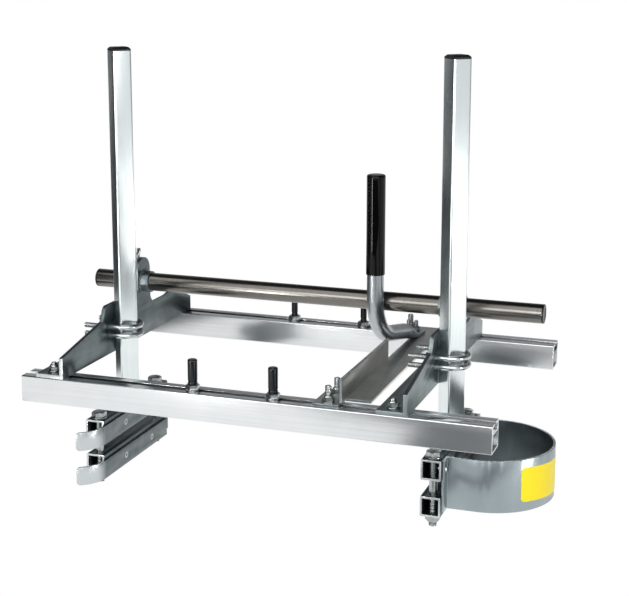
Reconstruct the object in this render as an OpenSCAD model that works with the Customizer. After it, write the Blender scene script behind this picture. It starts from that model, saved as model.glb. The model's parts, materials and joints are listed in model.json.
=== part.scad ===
// Portable log saw stand: a frame that carries the guide bar of a chainsaw under two rails.
// X runs along the rails, Y runs across them, Z is up. The stand rests on the ends of its four jaw bolts.

/* [Rails] */
// Length of both rails
rail_len = 610; // [480:5:900]
// Width and height of the square rail section
rail_size = 34; // [30:1:50]
// Wall of the rail's hollow section
rail_wall = 2.5; // [2:0.1:4]
// Outer corner radius of the rail
rail_corner = 1.5; // [0.5:0.1:2]
// Distance between the centre lines of the two rails
rail_spacing = 363; // [320:1:460]
// How much further right the rear rail lies
rail_stagger = 5; // [0:1:10]
// Width of the slot along the top of each rail
slot_w = 9; // [8.6:0.1:11]
// Thickness of the lips beside the slot
slot_lip = 3; // [2:0.1:4]
// Width of the channel under the lips
channel_w = 24; // [20:0.1:26]
// Height of the channel under the lips
channel_h = 7; // [6.4:0.1:10]

/* [Posts] */
// Side of the square post tube
post_size = 25.4; // [22:0.1:30]
// Wall of the post tube
post_wall = 2; // [1.5:0.1:3]
// Outer corner radius of the post tube
post_corner = 3.2; // [2.2:0.1:4]
// Length of a post
post_len = 471; // [420:1:600]
// Height of the post cap's head above the tube
cap_h = 4.5; // [2:0.1:8]
// Depth of the cap's stem inside the tube
cap_stem = 14; // [8:1:30]
// Place of the left post along the rails
left_post_x = 76.5; // [60:0.5:100]
// Place of the right post along the rails
right_post_x = 526.5; // [490:0.5:535]
// How far in front of the middle the posts stand
post_front = 54.5; // [40:0.5:65]

/* [End brackets] */
// Thickness of the bracket plates
plate_t = 5; // [4:0.1:6]
// Width of a bracket's flange, plate included
flange_w = 38; // [32:1:42]
// Height of the plate at its front end
front_end_h = 27; // [22:1:35]
// Height of the front arm where it meets the hub
front_arm_h = 48; // [40:1:55]
// Height of the hub that carries the post
hub_h = 67; // [60:1:75]
// Distance from the post to the front edge of the hub
hub_reach = 27; // [26:1:40]
// Height of the rear arm where it leaves the ear
rear_arm_h = 41; // [34:1:50]
// Height of the plate at its rear end
rear_end_h = 25; // [20:1:32]
// Width of the ear that carries the push bar
ear_w = 38; // [34:1:50]
// Height of the ear above the sleeve
ear_over = 19; // [4:0.5:30]
// How far a plate's rear end stays short of the rail's back face
rear_short = 8; // [0:0.5:9]

/* [Post clamps] */
// Diameter of the U-bolt rod
u_rod_d = 7; // [6:0.1:8]
// Distance between the two U-bolts of a post
u_pitch = 11.4; // [11.2:0.1:14]
// Height of the lower U-bolt above the rails
u_height = 27; // [20:0.5:34]
// Length of the U-bolt legs behind the plate
u_leg = 29; // [18:1:40]

/* [Push bar] */
// Diameter of the push bar
bar_d = 25; // [22:0.1:28]
// Wall of the push bar
bar_wall = 2; // [1.5:0.1:3]
// Length of the push bar's tube
bar_len = 631; // [600:1:900]
// How far the push bar sticks out past the left end of the rails
bar_left = 9; // [5:1:40]
// How far behind the middle the push bar lies
bar_back = 36; // [34:0.5:60]
// Height of the push bar's centre above the rails
bar_height = 77; // [72:0.5:95]
// Wall of the sleeve round the push bar
sleeve_wall = 2.2; // [1.5:0.1:4]
// How far the sleeve stands out in front of the plate
sleeve_front = 12; // [4:1:20]
// How far the sleeve stands out behind the plate
sleeve_back = 17; // [14:0.5:30]
// Diameter of the wing screws' threads
wing_d = 6; // [5:0.1:8]
// Height of the threaded boss above the sleeve
boss_h = 8; // [5:0.5:14]

/* [Bar jaws] */
// Side of the square jaw tubes
jaw_size = 25.4; // [22:0.1:30]
// Wall of the jaw tubes
jaw_wall = 2.5; // [2:0.1:4]
// Outer corner radius of the jaw tubes
jaw_corner = 1.6; // [0.5:0.1:2.4]
// Length of the jaw tubes
jaw_len = 193; // [170:1:260]
// Gap between the jaws, where the guide bar goes
jaw_gap = 21; // [15:0.5:30]
// Distance from the underside of the rails to the top of the upper jaws
jaw_drop = 32.5; // [28:0.5:80]
// Diameter of the jaw bolts
jaw_bolt_d = 10; // [8:0.1:12]
// Distance from a jaw tube's end to its bolt
jaw_bolt_inset = 13.5; // [11:0.5:20]
// Length of bolt that shows under its nut
jaw_bolt_tip = 6; // [2:0.5:12]

/* [Skids] */
// Thickness of the skid strips
skid_t = 3; // [2:0.1:4]
// Height of the skid strips
skid_h = 24; // [18:0.5:26]
// How far a skid strip hangs below its jaw tube
skid_drop = 5; // [2:0.5:9]
// Radius of the curved nose in front of the jaw tube
skid_bend_r = 36; // [25:1:50]
// Angle of the curved nose
skid_bend = 66; // [40:1:80]
// Radius of the nose's rounded corners
skid_corner = 5; // [2:0.5:8]
// How far a skid's rear end stays short of the jaw tube's
skid_short = 10; // [0:1:20]

/* [Nose guard] */
// How far the guard's flanges stay inside the jaw tube's ends
guard_margin = 1; // [0:0.5:6]
// Height of the guard
guard_h = 65; // [50:1:67]
// Thickness of the guard sheet
guard_t = 3; // [2:0.1:4]
// Reach of the guard beyond the jaw tube
guard_reach = 118; // [100:1:160]
// Width of the flanges that hold the guard
guard_flange = 15.5; // [14:0.5:18]
// How far behind the post the middle of the guard lies
guard_back = 3; // [0:0.5:4]
// How far the guard's top edge lies below the top of the jaw tube
guard_low = 0.5; // [0:0.1:3]

/* [Cross bracket] */
// Place of the cross bracket's web along the rails
cross_x = 420; // [400:1:424]
// Thickness of the cross bracket's plate
cross_t = 3; // [2.5:0.1:4]
// Height of the web
web_h = 32; // [20:1:40]
// Width of the floor beside the web
floor_w = 35; // [25:1:38]
// Width of the feet
foot_w = 33; // [28:1:36]
// Length of the feet across the rails
foot_len = 58; // [54:1:70]
// Distance between the two bolts of a foot
foot_pitch = 34; // [31:1:40]
// Length of the web across the rails
web_len = 196; // [150:1:200]

/* [Handle] */
// Diameter of the handle tube
handle_d = 22; // [19:0.1:25]
// Wall of the handle tube
handle_wall = 2; // [1.5:0.1:3]
// Height of the grip's top above the rails
handle_top = 250; // [220:1:320]
// Radius of the handle's bend along its centre line
handle_bend_r = 62; // [50:1:66]
// Height above the rails where the bend starts
handle_bend_z = 88; // [84:1:110]
// Distance from the middle of the stand back to the upright of the handle
handle_back = 6.5; // [0:0.5:9]
// Angle by which the handle's foot turns away from straight back
handle_turn = 4; // [0:0.5:8]
// Thickness of the handle's flattened end
pad_t = 6; // [5:0.1:8]
// Width of the handle's flattened end
pad_w = 30; // [26:0.5:32]
// Length of the flattened end
pad_len = 30; // [24:1:34]
// Length over which the tube is squeezed flat
squeeze_len = 24; // [18:1:30]
// Length of the grip
grip_len = 131; // [100:1:140]
// Wall of the grip
grip_wall = 1.2; // [1:0.1:4]

/* [Stop studs] */
// Place of the left pair of studs along the rails
left_stud_x = 231; // [190:1:250]
// Place of the right pair of studs along the rails
right_stud_x = 337; // [320:1:345]
// Diameter of the studs' threads
stud_d = 8; // [6:0.1:8.4]
// Diameter of the front studs above their nuts
front_stud_d = 12; // [9:0.1:14]
// Diameter of the rear studs above their nuts
rear_stud_d = 9; // [8.5:0.1:14]
// Height of the front studs above the rail
front_stud_h = 39; // [25:1:60]
// Height of the rear studs above the rail
rear_stud_h = 38; // [25:1:50]

/* [Hidden] */

$fn = 48;
eps = 0.01;
// Gaps: sliding pieces, running and threaded fits, bolts in plain holes
slide_gap = 0.3;
run_gap = 0.1;
bolt_gap = 0.25;

// Fasteners: thread, width across flats, heights of nut and head
foot_bolt_d = 8;
foot_af = 13;
foot_nut_h = 7;
foot_tip = 3;
cross_tip = 12;
t_head_h = 5.5;
t_head_l = 16;
t_head_play = 1;
u_af = 11;
u_nut_h = 6;
jaw_af = 17;
jaw_nut_h = 8;
jaw_head_h = 6.5;
jaw_washer_d = 21;
stud_af = 15;
stud_nut_h = 7;
stud_flange_d = 19;
stud_flange_h = 2;
pad_bolt_d = 6;
pad_af = 10;
pad_nut_h = 5;
pad_head_h = 4;
pad_tip = 9;
pad_bolt_pitch = 11;
washer_t = 1.6;
foot_washer_d = 17;
screw_d = 5;
screw_head_d = 9;
screw_head_h = 2.2;
screw_len = 9;
tip_bevel = 0.8;
plug_head = 2;
plug_stem = 12;
// How far a bracket's front ramp and its rear taper reach in from the plate's ends
front_ramp = 42;
rear_taper = 62;

front_y = -rail_spacing / 2;
rear_y = rail_spacing / 2;
top_z = rail_size;
foot_z = top_z + plate_t;
post_y = -post_front;
// Half of the post's width across its rounded corners
post_half = (post_size / 2 - post_corner) * sqrt(2) + post_corner;
face_offset = post_half + slide_gap;
u_radius = post_half + slide_gap + u_rod_d / 2;
u_zs = [top_z + u_height, top_z + u_height + u_pitch];
foot_bolt_x = -(plate_t + flange_w) / 2;

bar_y = bar_back;
bar_z = top_z + bar_height;
sleeve_r = bar_d / 2 + run_gap + sleeve_wall;
boss_d = 1.6 * wing_d;
boss_top = bar_z + sleeve_r + boss_h;
wing_x = -plate_t - boss_d / 2 - 0.5;
wing_turn = 67;

upper_top = -jaw_drop;
upper_bottom = upper_top - jaw_size;
lower_top = upper_bottom - jaw_gap;
lower_bottom = lower_top - jaw_size;
jaw_front = post_y - jaw_len / 2;
jaw_bolt_pitch = jaw_len - 2 * jaw_bolt_inset;
jaw_bolt_ys = [post_y - jaw_bolt_pitch / 2, post_y + jaw_bolt_pitch / 2];
ground = lower_bottom - washer_t - jaw_nut_h - jaw_bolt_tip;
skid_rear = jaw_front + jaw_len - skid_short;
skid_nose = jaw_front - 2;
// Height of a skid's screws above its jaw tube's lower face
skid_z = -skid_drop + skid_h / 2;
skid_screw_ys = [jaw_front + jaw_len * 0.3, jaw_front + jaw_len * 0.7];

guard_y = post_y + guard_back;
guard_r = jaw_len / 2 - guard_flange - guard_margin;
guard_x = right_post_x + jaw_size / 2;
guard_center_x = guard_x + guard_reach - guard_r;
guard_top = upper_top - guard_low;
guard_screw_ys = [guard_y - guard_r - guard_flange / 2, guard_y + guard_r + guard_flange / 2];
guard_screw_z = (upper_top + upper_bottom) / 2;

cross_left = cross_x - foot_w + cross_t;
cross_bolt_x = cross_left + foot_w / 2 + 1;
foot_top = top_z + cross_t;
foot_front = front_y - rail_size / 2 + 7;
foot_rear = rear_y + rail_size / 2 - 3;
front_foot_ys = [front_y, front_y + foot_pitch];
web_front = front_y + 3;
floor_front = front_y + rail_size / 2 + 2;

// The handle's upright stands over the feet, and its flattened end lies just in front of the rear rail
handle_x = cross_bolt_x;
pad_gap = 11;
pad_y = rear_y - rail_size / 2 - pad_gap;
pad_reach = (pad_y - pad_len / 2 - handle_back) / cos(handle_turn);
rear_foot_front = pad_y - pad_len / 2 - 4;
pad_z = foot_top + pad_t / 2;
tail_z = foot_top + handle_d / 2 + 2;
tail_reach = pad_reach - squeeze_len;
bend_drop = top_z + handle_bend_z - tail_z;
bend_span = sqrt(pow(tail_reach - handle_bend_r, 2) + pow(bend_drop, 2));
handle_bend = 180 - atan2(bend_drop, tail_reach - handle_bend_r) - acos(handle_bend_r / bend_span);

left_end = -bar_left - plug_head;
right_end = guard_x + guard_reach;
middle_x = (left_end + right_end) / 2;

// Moves a piece so that the stand's origin is under its middle, on the ground
module placed() {
    translate([-middle_x, 0, -ground]) children();
}

// Places an end bracket's piece: its x = 0 is the plate's face that the post stands at
module at_bracket(post_x) {
    placed() translate([post_x - face_offset, 0, 0]) children();
}

module rounded_square(size, r) {
    square([size, size - 2 * r], center = true);
    square([size - 2 * r, size], center = true);
    for (sx = [-1, 1], sy = [-1, 1])
        translate([sx * (size / 2 - r), sy * (size / 2 - r)]) circle(r);
}

module tube_section(size, wall, r) {
    difference() {
        rounded_square(size, r);
        rounded_square(size - 2 * wall, max(r - wall, 0.4));
    }
}

// Round bar with a bevelled far end
module rod(d, length) {
    cylinder(d = d, h = length - tip_bevel);
    translate([0, 0, length - tip_bevel])
        cylinder(d1 = d, d2 = d - 2 * tip_bevel, h = tip_bevel);
}

module hex(af, h) {
    cylinder(d = af / cos(30), h = h, $fn = 6);
}

// Hexagon nut or washer stack on z = 0, for a thread of diameter d
module nut(af, h, d) {
    difference() {
        hex(af, h);
        translate([0, 0, -eps]) cylinder(d = d + 2 * run_gap, h = h + 2 * eps);
    }
}

module washer(outer, d) {
    difference() {
        cylinder(d = outer, h = washer_t);
        translate([0, 0, -eps]) cylinder(d = d + 2 * run_gap, h = washer_t + 2 * eps);
    }
}

module nut_on_washer(af, h, d, outer) {
    washer(outer, d);
    translate([0, 0, washer_t]) nut(af, h, d);
}

// Bolt that hangs by its flat head in a rail's channel and stands up through the slot
module slot_bolt(d, z_end) {
    seat = top_z - slot_lip;
    translate([-t_head_l / 2, -(channel_w - t_head_play) / 2, seat - t_head_h])
        cube([t_head_l, channel_w - t_head_play, t_head_h]);
    translate([0, 0, seat - eps]) rod(d, z_end - seat + eps);
}

// Rails

module rail() {
    box_h = rail_size - slot_lip - channel_h - 2 * rail_wall;
    rotate([90, 0, 90])
        linear_extrude(rail_len)
            difference() {
                translate([0, rail_size / 2]) rounded_square(rail_size, rail_corner);
                translate([0, rail_wall + box_h / 2])
                    square([rail_size - 2 * rail_wall, box_h], center = true);
                translate([0, rail_size - slot_lip - channel_h / 2])
                    square([channel_w, channel_h], center = true);
                translate([0, rail_size]) square([slot_w, 2 * slot_lip + eps], center = true);
            }
}

module front_rail() {
    color("#C9CCCE") placed() translate([0, front_y, 0]) rail();
}

module rear_rail() {
    color("#C9CCCE") placed() translate([rail_stagger, rear_y, 0]) rail();
}

// End brackets

// Outline of an end bracket's plate: y across the rails, height above the rails
module bracket_outline() {
    front = front_y - rail_size / 2;
    rear = rear_y + rail_size / 2 - rear_short;
    hub_front = post_y - hub_reach;
    ear_front = bar_y - ear_w / 2;
    ear_rear = bar_y + ear_w / 2;
    ear_mid = bar_height + sleeve_r + ear_over - ear_w / 2;
    polygon([
        [front, 0],
        [front, front_end_h],
        [front + front_ramp, front_end_h + 8],
        [hub_front - 8, front_arm_h],
        [hub_front - 3, front_arm_h + 7],
        [hub_front, hub_h - 4],
        [hub_front + 5, hub_h],
        [ear_front, hub_h],
        [ear_rear, hub_h],
        [ear_rear, rear_arm_h + 10],
        [ear_rear + 5, rear_arm_h + 3],
        [ear_rear + 13, rear_arm_h],
        [rear - rear_taper - 22, rear_arm_h],
        [rear - rear_taper - 6, rear_arm_h + 3],
        [rear - rear_taper, rear_arm_h - 1],
        [rear - 14, rear_end_h + 2],
        [rear, rear_end_h - 4],
        [rear, 0]
    ]);
    translate([ear_front, 0]) square([ear_w, ear_mid]);
    translate([bar_y, ear_mid]) circle(d = ear_w);
}

module end_bracket() {
    front = front_y - rail_size / 2;
    rear = rear_y + rail_size / 2 - rear_short;
    difference() {
        union() {
            translate([-plate_t, 0, top_z])
                rotate([90, 0, 90]) linear_extrude(plate_t) bracket_outline();
            translate([-flange_w, front, top_z]) cube([flange_w, rear - front, plate_t]);
        }
        for (z = u_zs, side = [-1, 1])
            translate([-plate_t - eps, post_y + side * u_radius, z])
                rotate([0, 90, 0]) cylinder(d = u_rod_d + 2 * bolt_gap, h = plate_t + 2 * eps);
        translate([-plate_t - eps, bar_y, bar_z])
            rotate([0, 90, 0]) cylinder(r = sleeve_r + run_gap / 2, h = plate_t + 2 * eps);
        for (y = [front_y, rear_y])
            translate([foot_bolt_x, y, top_z - eps])
                cylinder(d = foot_bolt_d + 2 * bolt_gap, h = plate_t + 2 * eps);
    }
}

module left_end_bracket() {
    color("#636B6C") at_bracket(left_post_x) end_bracket();
}

module right_end_bracket() {
    color("#6B7577") at_bracket(right_post_x) end_bracket();
}

// Sleeve that the push bar runs in, with a threaded boss for the wing screw
module bar_sleeve() {
    difference() {
        union() {
            translate([-plate_t - sleeve_back, bar_y, bar_z])
                rotate([0, 90, 0]) cylinder(r = sleeve_r, h = sleeve_back + plate_t + sleeve_front);
            translate([wing_x, bar_y, bar_z]) cylinder(d = boss_d, h = boss_top - bar_z);
        }
        translate([-plate_t - sleeve_back - eps, bar_y, bar_z])
            rotate([0, 90, 0])
                cylinder(r = bar_d / 2 + run_gap, h = sleeve_back + plate_t + sleeve_front + 2 * eps);
        translate([wing_x, bar_y, bar_z])
            cylinder(d = wing_d + 2 * run_gap, h = boss_top - bar_z + eps);
    }
}

module left_bar_sleeve() {
    color("#7D8586") at_bracket(left_post_x) bar_sleeve();
}

module right_bar_sleeve() {
    color("#7D8586") at_bracket(right_post_x) bar_sleeve();
}

// Screw with two wings, its tip just clear of the bar
module wing_screw() {
    tip = bar_z + bar_d / 2 + slide_gap;
    hub = boss_top + 6;
    wing_t = 2.6;
    wing_r = 2.4;
    translate([wing_x, bar_y, 0]) rotate([0, 0, wing_turn]) {
        translate([0, 0, tip]) cylinder(d = wing_d, h = hub - tip + eps);
        translate([0, 0, hub]) cylinder(d1 = boss_d, d2 = boss_d - 2, h = 9);
        for (side = [-1, 1])
            translate([-wing_t / 2, 0, hub]) rotate([90, 0, 90]) linear_extrude(wing_t) {
                translate([side * 4.6, 15.8]) circle(wing_r);
                polygon([
                    [0, 1], [side * 2.8, 0.8], [side * 6.9, 14.9], [side * 2.7, 17.2], [side * 1.6, 8.6], [0, 8.6]
                ]);
            }
    }
}

module left_wing_screw() {
    color("#8F9698") at_bracket(left_post_x) wing_screw();
}

module right_wing_screw() {
    color("#8F9698") at_bracket(right_post_x) wing_screw();
}

// Two U-bolts round a post, their legs through the plate
module u_bolts() {
    leg = face_offset + plate_t + u_leg;
    for (z = u_zs)
        translate([face_offset, post_y, z]) {
            rotate([0, 0, -90])
                rotate_extrude(angle = 180) translate([u_radius, 0]) circle(d = u_rod_d);
            for (side = [-1, 1])
                translate([eps, side * u_radius, 0]) rotate([0, -90, 0]) rod(u_rod_d, leg + eps);
        }
}

module u_bolt_nuts() {
    for (z = u_zs, side = [-1, 1])
        translate([-plate_t, post_y + side * u_radius, z])
            rotate([0, -90, 0]) rotate([0, 0, 30]) nut(u_af, u_nut_h, u_rod_d);
}

module left_u_bolts() {
    color("#B9BEC0") at_bracket(left_post_x) u_bolts();
}

module right_u_bolts() {
    color("#B9BEC0") at_bracket(right_post_x) u_bolts();
}

module left_u_bolt_nuts() {
    color("#9AA0A2") at_bracket(left_post_x) u_bolt_nuts();
}

module right_u_bolt_nuts() {
    color("#9AA0A2") at_bracket(right_post_x) u_bolt_nuts();
}

module foot_bolts() {
    for (y = [front_y, rear_y])
        translate([foot_bolt_x, y, 0])
            slot_bolt(foot_bolt_d, foot_z + washer_t + foot_nut_h + foot_tip);
}

module foot_nuts() {
    for (y = [front_y, rear_y])
        translate([foot_bolt_x, y, foot_z])
            nut_on_washer(foot_af, foot_nut_h, foot_bolt_d, foot_washer_d);
}

module left_foot_bolts() {
    color("#A9AEB0") at_bracket(left_post_x) foot_bolts();
}

module right_foot_bolts() {
    color("#A9AEB0") at_bracket(right_post_x) foot_bolts();
}

module left_foot_nuts() {
    color("#8F9698") at_bracket(left_post_x) foot_nuts();
}

module right_foot_nuts() {
    color("#8F9698") at_bracket(right_post_x) foot_nuts();
}

// Push bar

module push_bar() {
    color("#8D8F8E") placed() translate([-bar_left, bar_y, bar_z]) rotate([0, 90, 0])
        difference() {
            cylinder(d = bar_d, h = bar_len);
            translate([0, 0, -eps]) cylinder(d = bar_d - 2 * bar_wall, h = bar_len + 2 * eps);
        }
}

// Plug pressed into a bar end, its rim level with the bar
module bar_plug() {
    rotate_extrude()
        polygon([
            [0, 0], [bar_d / 2 - 1.2, 0], [bar_d / 2, plug_head * 0.6], [bar_d / 2, plug_head],
            [bar_d / 2 - bar_wall - run_gap, plug_head],
            [bar_d / 2 - bar_wall - run_gap, plug_head + plug_stem], [0, plug_head + plug_stem]
        ]);
}

module push_bar_plugs() {
    color("#17181A") placed() {
        translate([left_end, bar_y, bar_z]) rotate([0, 90, 0]) bar_plug();
        translate([left_end + bar_len + 2 * plug_head, bar_y, bar_z]) rotate([0, -90, 0]) bar_plug();
    }
}

// Posts

module post() {
    translate([0, post_y, upper_top])
        rotate([0, 0, 45]) linear_extrude(post_len) tube_section(post_size, post_wall, post_corner);
}

// Domed cap with a stem inside the tube
module post_cap() {
    crown = 5;
    translate([0, post_y, upper_top + post_len]) rotate([0, 0, 45]) {
        hull() {
            linear_extrude(cap_h * 0.45) rounded_square(post_size, post_corner, $fn = 32);
            translate([0, 0, cap_h - 0.5])
                linear_extrude(0.5) rounded_square(post_size - crown, post_corner, $fn = 32);
        }
        translate([0, 0, -cap_stem])
            linear_extrude(cap_stem)
                rounded_square(post_size - 2 * post_wall - 2 * run_gap, max(post_corner - post_wall, 0.4));
    }
}

module left_post() {
    color("#DDE2E3") placed() translate([left_post_x, 0, 0]) post();
}

module right_post() {
    color("#DDE2E3") placed() translate([right_post_x, 0, 0]) post();
}

module left_post_cap() {
    color("#1B1C1E") placed() translate([left_post_x, 0, 0]) post_cap();
}

module right_post_cap() {
    color("#1B1C1E") placed() translate([right_post_x, 0, 0]) post_cap();
}

// Bar jaws

// Square jaw tube along Y, its lower face at z = 0, with holes for its two bolts
module jaw_tube(hole_x) {
    difference() {
        translate([0, jaw_front + jaw_len, jaw_size / 2])
            rotate([90, 0, 0]) linear_extrude(jaw_len) tube_section(jaw_size, jaw_wall, jaw_corner);
        for (y = jaw_bolt_ys)
            translate([hole_x, y, -eps]) cylinder(d = jaw_bolt_d + 2 * bolt_gap, h = jaw_size + 2 * eps);
    }
}

// Holes in the wall that a skid or the guard is screwed to
module wall_holes(ys, z) {
    for (y = ys)
        translate([jaw_size / 2 - jaw_wall - eps, y, z])
            rotate([0, 90, 0]) cylinder(d = screw_d + 2 * run_gap, h = jaw_wall + 2 * eps);
}

module upper_jaw(screw_ys, screw_z) {
    translate([0, 0, upper_bottom])
        difference() {
            jaw_tube(0);
            wall_holes(screw_ys, screw_z);
        }
}

module left_upper_jaw() {
    color("#4B4F50") placed() translate([left_post_x, 0, 0]) upper_jaw(skid_screw_ys, skid_z);
}

module right_upper_jaw() {
    color("#4B4F50") placed() translate([right_post_x, 0, 0])
        upper_jaw(guard_screw_ys, guard_screw_z - upper_bottom);
}

module left_lower_jaw() {
    color("#4B4F50") placed() translate([left_post_x - slide_gap, 0, lower_bottom])
        difference() {
            jaw_tube(slide_gap);
            wall_holes(skid_screw_ys, skid_z);
        }
}

module right_lower_jaw() {
    color("#4B4F50") placed() translate([right_post_x - slide_gap, 0, lower_bottom])
        jaw_tube(slide_gap);
}

// The two bolts of a jaw: head on a washer above the upper tube, tips on the ground
module jaw_bolts() {
    for (y = jaw_bolt_ys)
        translate([0, y, 0]) {
            translate([0, 0, upper_top + washer_t]) hex(jaw_af, jaw_head_h);
            translate([0, 0, upper_top]) cylinder(d = jaw_washer_d, h = washer_t);
            translate([0, 0, upper_top + eps]) mirror([0, 0, 1]) rod(jaw_bolt_d, upper_top + eps - ground);
        }
}

module left_jaw_bolts() {
    color("#9AA0A2") placed() translate([left_post_x, 0, 0]) jaw_bolts();
}

module right_jaw_bolts() {
    color("#9AA0A2") placed() translate([right_post_x, 0, 0]) jaw_bolts();
}

module jaw_nuts() {
    for (y = jaw_bolt_ys)
        translate([0, y, lower_bottom])
            mirror([0, 0, 1]) nut_on_washer(jaw_af, jaw_nut_h, jaw_bolt_d, jaw_washer_d);
}

module left_jaw_nuts() {
    color("#7D8386") placed() translate([left_post_x, 0, 0]) jaw_nuts();
}

module right_jaw_nuts() {
    color("#7D8386") placed() translate([right_post_x, 0, 0]) jaw_nuts();
}

// Skid strip on a jaw tube, its curved nose turning away in front: x = 0 is the tube's face
module skid() {
    mid = skid_bend_r + skid_t / 2;
    difference() {
        union() {
            translate([0, skid_nose, 0]) cube([skid_t, skid_rear - skid_nose, skid_h]);
            translate([-skid_bend_r, skid_nose, 0])
                difference() {
                    rotate([0, 0, -skid_bend])
                        rotate_extrude(angle = skid_bend)
                            translate([skid_bend_r, 0]) square([skid_t, skid_h]);
                    // Rounded corners of the nose
                    rotate([0, 0, -skid_bend])
                        for (z = [0, skid_h])
                            translate([mid, 0, z]) rotate([0, z == 0 ? 0 : 180, 0])
                                difference() {
                                    translate([-skid_t, -eps, -eps])
                                        cube([2 * skid_t, skid_corner + eps, skid_corner + eps]);
                                    translate([-skid_t - eps, skid_corner, skid_corner])
                                        rotate([0, 90, 0])
                                            cylinder(r = skid_corner, h = 2 * skid_t + 2 * eps);
                                }
                }
        }
        for (y = skid_screw_ys)
            translate([-eps, y, skid_h / 2]) rotate([0, 90, 0]) {
                cylinder(d = screw_d + 2 * bolt_gap, h = skid_t + 2 * eps);
                translate([0, 0, skid_t - screw_head_h])
                    cylinder(d1 = screw_d + 2 * bolt_gap, d2 = screw_head_d + 2 * bolt_gap,
                             h = screw_head_h + 2 * eps);
            }
    }
}

// Countersunk screws that hold a skid, level with its outer face
module skid_screws() {
    for (y = skid_screw_ys)
        translate([skid_t, y, skid_h / 2]) rotate([0, -90, 0]) {
            cylinder(d1 = screw_head_d, d2 = screw_d, h = screw_head_h);
            cylinder(d = screw_d, h = screw_len);
        }
}

module at_upper_skid() {
    placed() translate([left_post_x + jaw_size / 2, 0, upper_bottom - skid_drop]) children();
}

module at_lower_skid() {
    placed() translate([left_post_x - slide_gap + jaw_size / 2, 0, lower_bottom - skid_drop]) children();
}

module left_upper_skid() {
    color("#6F7678") at_upper_skid() skid();
}

module left_lower_skid() {
    color("#6F7678") at_lower_skid() skid();
}

module left_upper_skid_screws() {
    color("#8F9698") at_upper_skid() skid_screws();
}

module left_lower_skid_screws() {
    color("#8F9698") at_lower_skid() skid_screws();
}

// Nose guard

// Half ring of sheet with straight legs, whose ends turn outwards along the jaw tubes
module nose_guard() {
    leg = guard_center_x - guard_x;
    color("#A3ACB0") placed() translate([guard_x, guard_y, guard_top - guard_h])
        difference() {
            union() {
                translate([leg, 0, 0]) rotate([0, 0, -90])
                    rotate_extrude(angle = 180, $fn = 96)
                        translate([guard_r - guard_t, 0]) square([guard_t, guard_h]);
                for (side = [0, 1])
                    mirror([0, side, 0]) {
                        translate([0, guard_r - guard_t, 0]) cube([leg, guard_t, guard_h]);
                        translate([0, guard_r - guard_t, 0])
                            cube([guard_t, guard_flange + guard_t, guard_h]);
                    }
            }
            for (y = guard_screw_ys)
                translate([-eps, y - guard_y, guard_screw_z - guard_top + guard_h])
                    rotate([0, 90, 0]) cylinder(d = screw_d + 2 * bolt_gap, h = guard_t + 2 * eps);
        }
}

// Pan-head screws through the guard's flanges into the upper tube
module guard_screws() {
    color("#8F9698") placed()
        for (y = guard_screw_ys)
            translate([guard_x + guard_t, y, guard_screw_z]) {
                rotate([0, 90, 0]) cylinder(d1 = screw_head_d, d2 = screw_head_d - 3, h = screw_head_h);
                rotate([0, -90, 0]) cylinder(d = screw_d, h = screw_len);
            }
}

// Cross bracket with the handle

// One bent sheet: an upright web, a floor to its right and a foot to its left at each end
module cross_bracket() {
    color("#6B7577") placed() difference() {
        union() {
            translate([cross_x, web_front, top_z]) cube([cross_t, web_len, web_h - cross_t / 2]);
            translate([cross_x + cross_t / 2, web_front, top_z + web_h - cross_t / 2])
                rotate([-90, 0, 0]) cylinder(d = cross_t, h = web_len);
            translate([cross_x, floor_front, top_z]) cube([floor_w, foot_rear - floor_front, cross_t]);
            translate([cross_left, foot_front, top_z]) cube([foot_w, foot_len, cross_t]);
            translate([cross_left, rear_foot_front, top_z])
                cube([foot_w, foot_rear - rear_foot_front, cross_t]);
        }
        for (y = concat(front_foot_ys, [rear_y]))
            translate([cross_bolt_x, y, top_z - eps])
                cylinder(d = foot_bolt_d + 2 * bolt_gap, h = cross_t + 2 * eps);
        at_pad() for (side = [-1, 1])
            translate([side * pad_bolt_pitch / 2, 0, -eps])
                cylinder(d = pad_bolt_d + 2 * bolt_gap, h = cross_t + 2 * eps);
    }
}

// Places a piece at the middle of the handle's flattened end, on top of the rails
module at_pad() {
    translate([handle_x + (pad_y - handle_back) * tan(handle_turn), pad_y, top_z])
        rotate([0, 0, -handle_turn]) children();
}

module cross_foot_bolts() {
    z_end = foot_top + washer_t + foot_nut_h + cross_tip;
    color("#A9AEB0") placed() {
        for (y = [front_foot_ys[0], rear_y]) translate([cross_bolt_x, y, 0]) slot_bolt(foot_bolt_d, z_end);
        translate([cross_bolt_x, front_foot_ys[1], 0]) {
            translate([0, 0, top_z - t_head_h]) hex(foot_af, t_head_h);
            translate([0, 0, top_z - eps]) rod(foot_bolt_d, z_end - top_z + eps);
        }
    }
}

module cross_foot_nuts() {
    color("#8F9698") placed()
        for (y = concat(front_foot_ys, [rear_y]))
            translate([cross_bolt_x, y, foot_top])
                nut_on_washer(foot_af, foot_nut_h, foot_bolt_d, foot_washer_d);
}

// Turns a shape that lies along +X and +Z of the handle's own plane into its place
module at_handle() {
    placed() translate([handle_x, handle_back, top_z + handle_bend_z])
        rotate([0, 0, 90 - handle_turn]) children();
}

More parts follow.
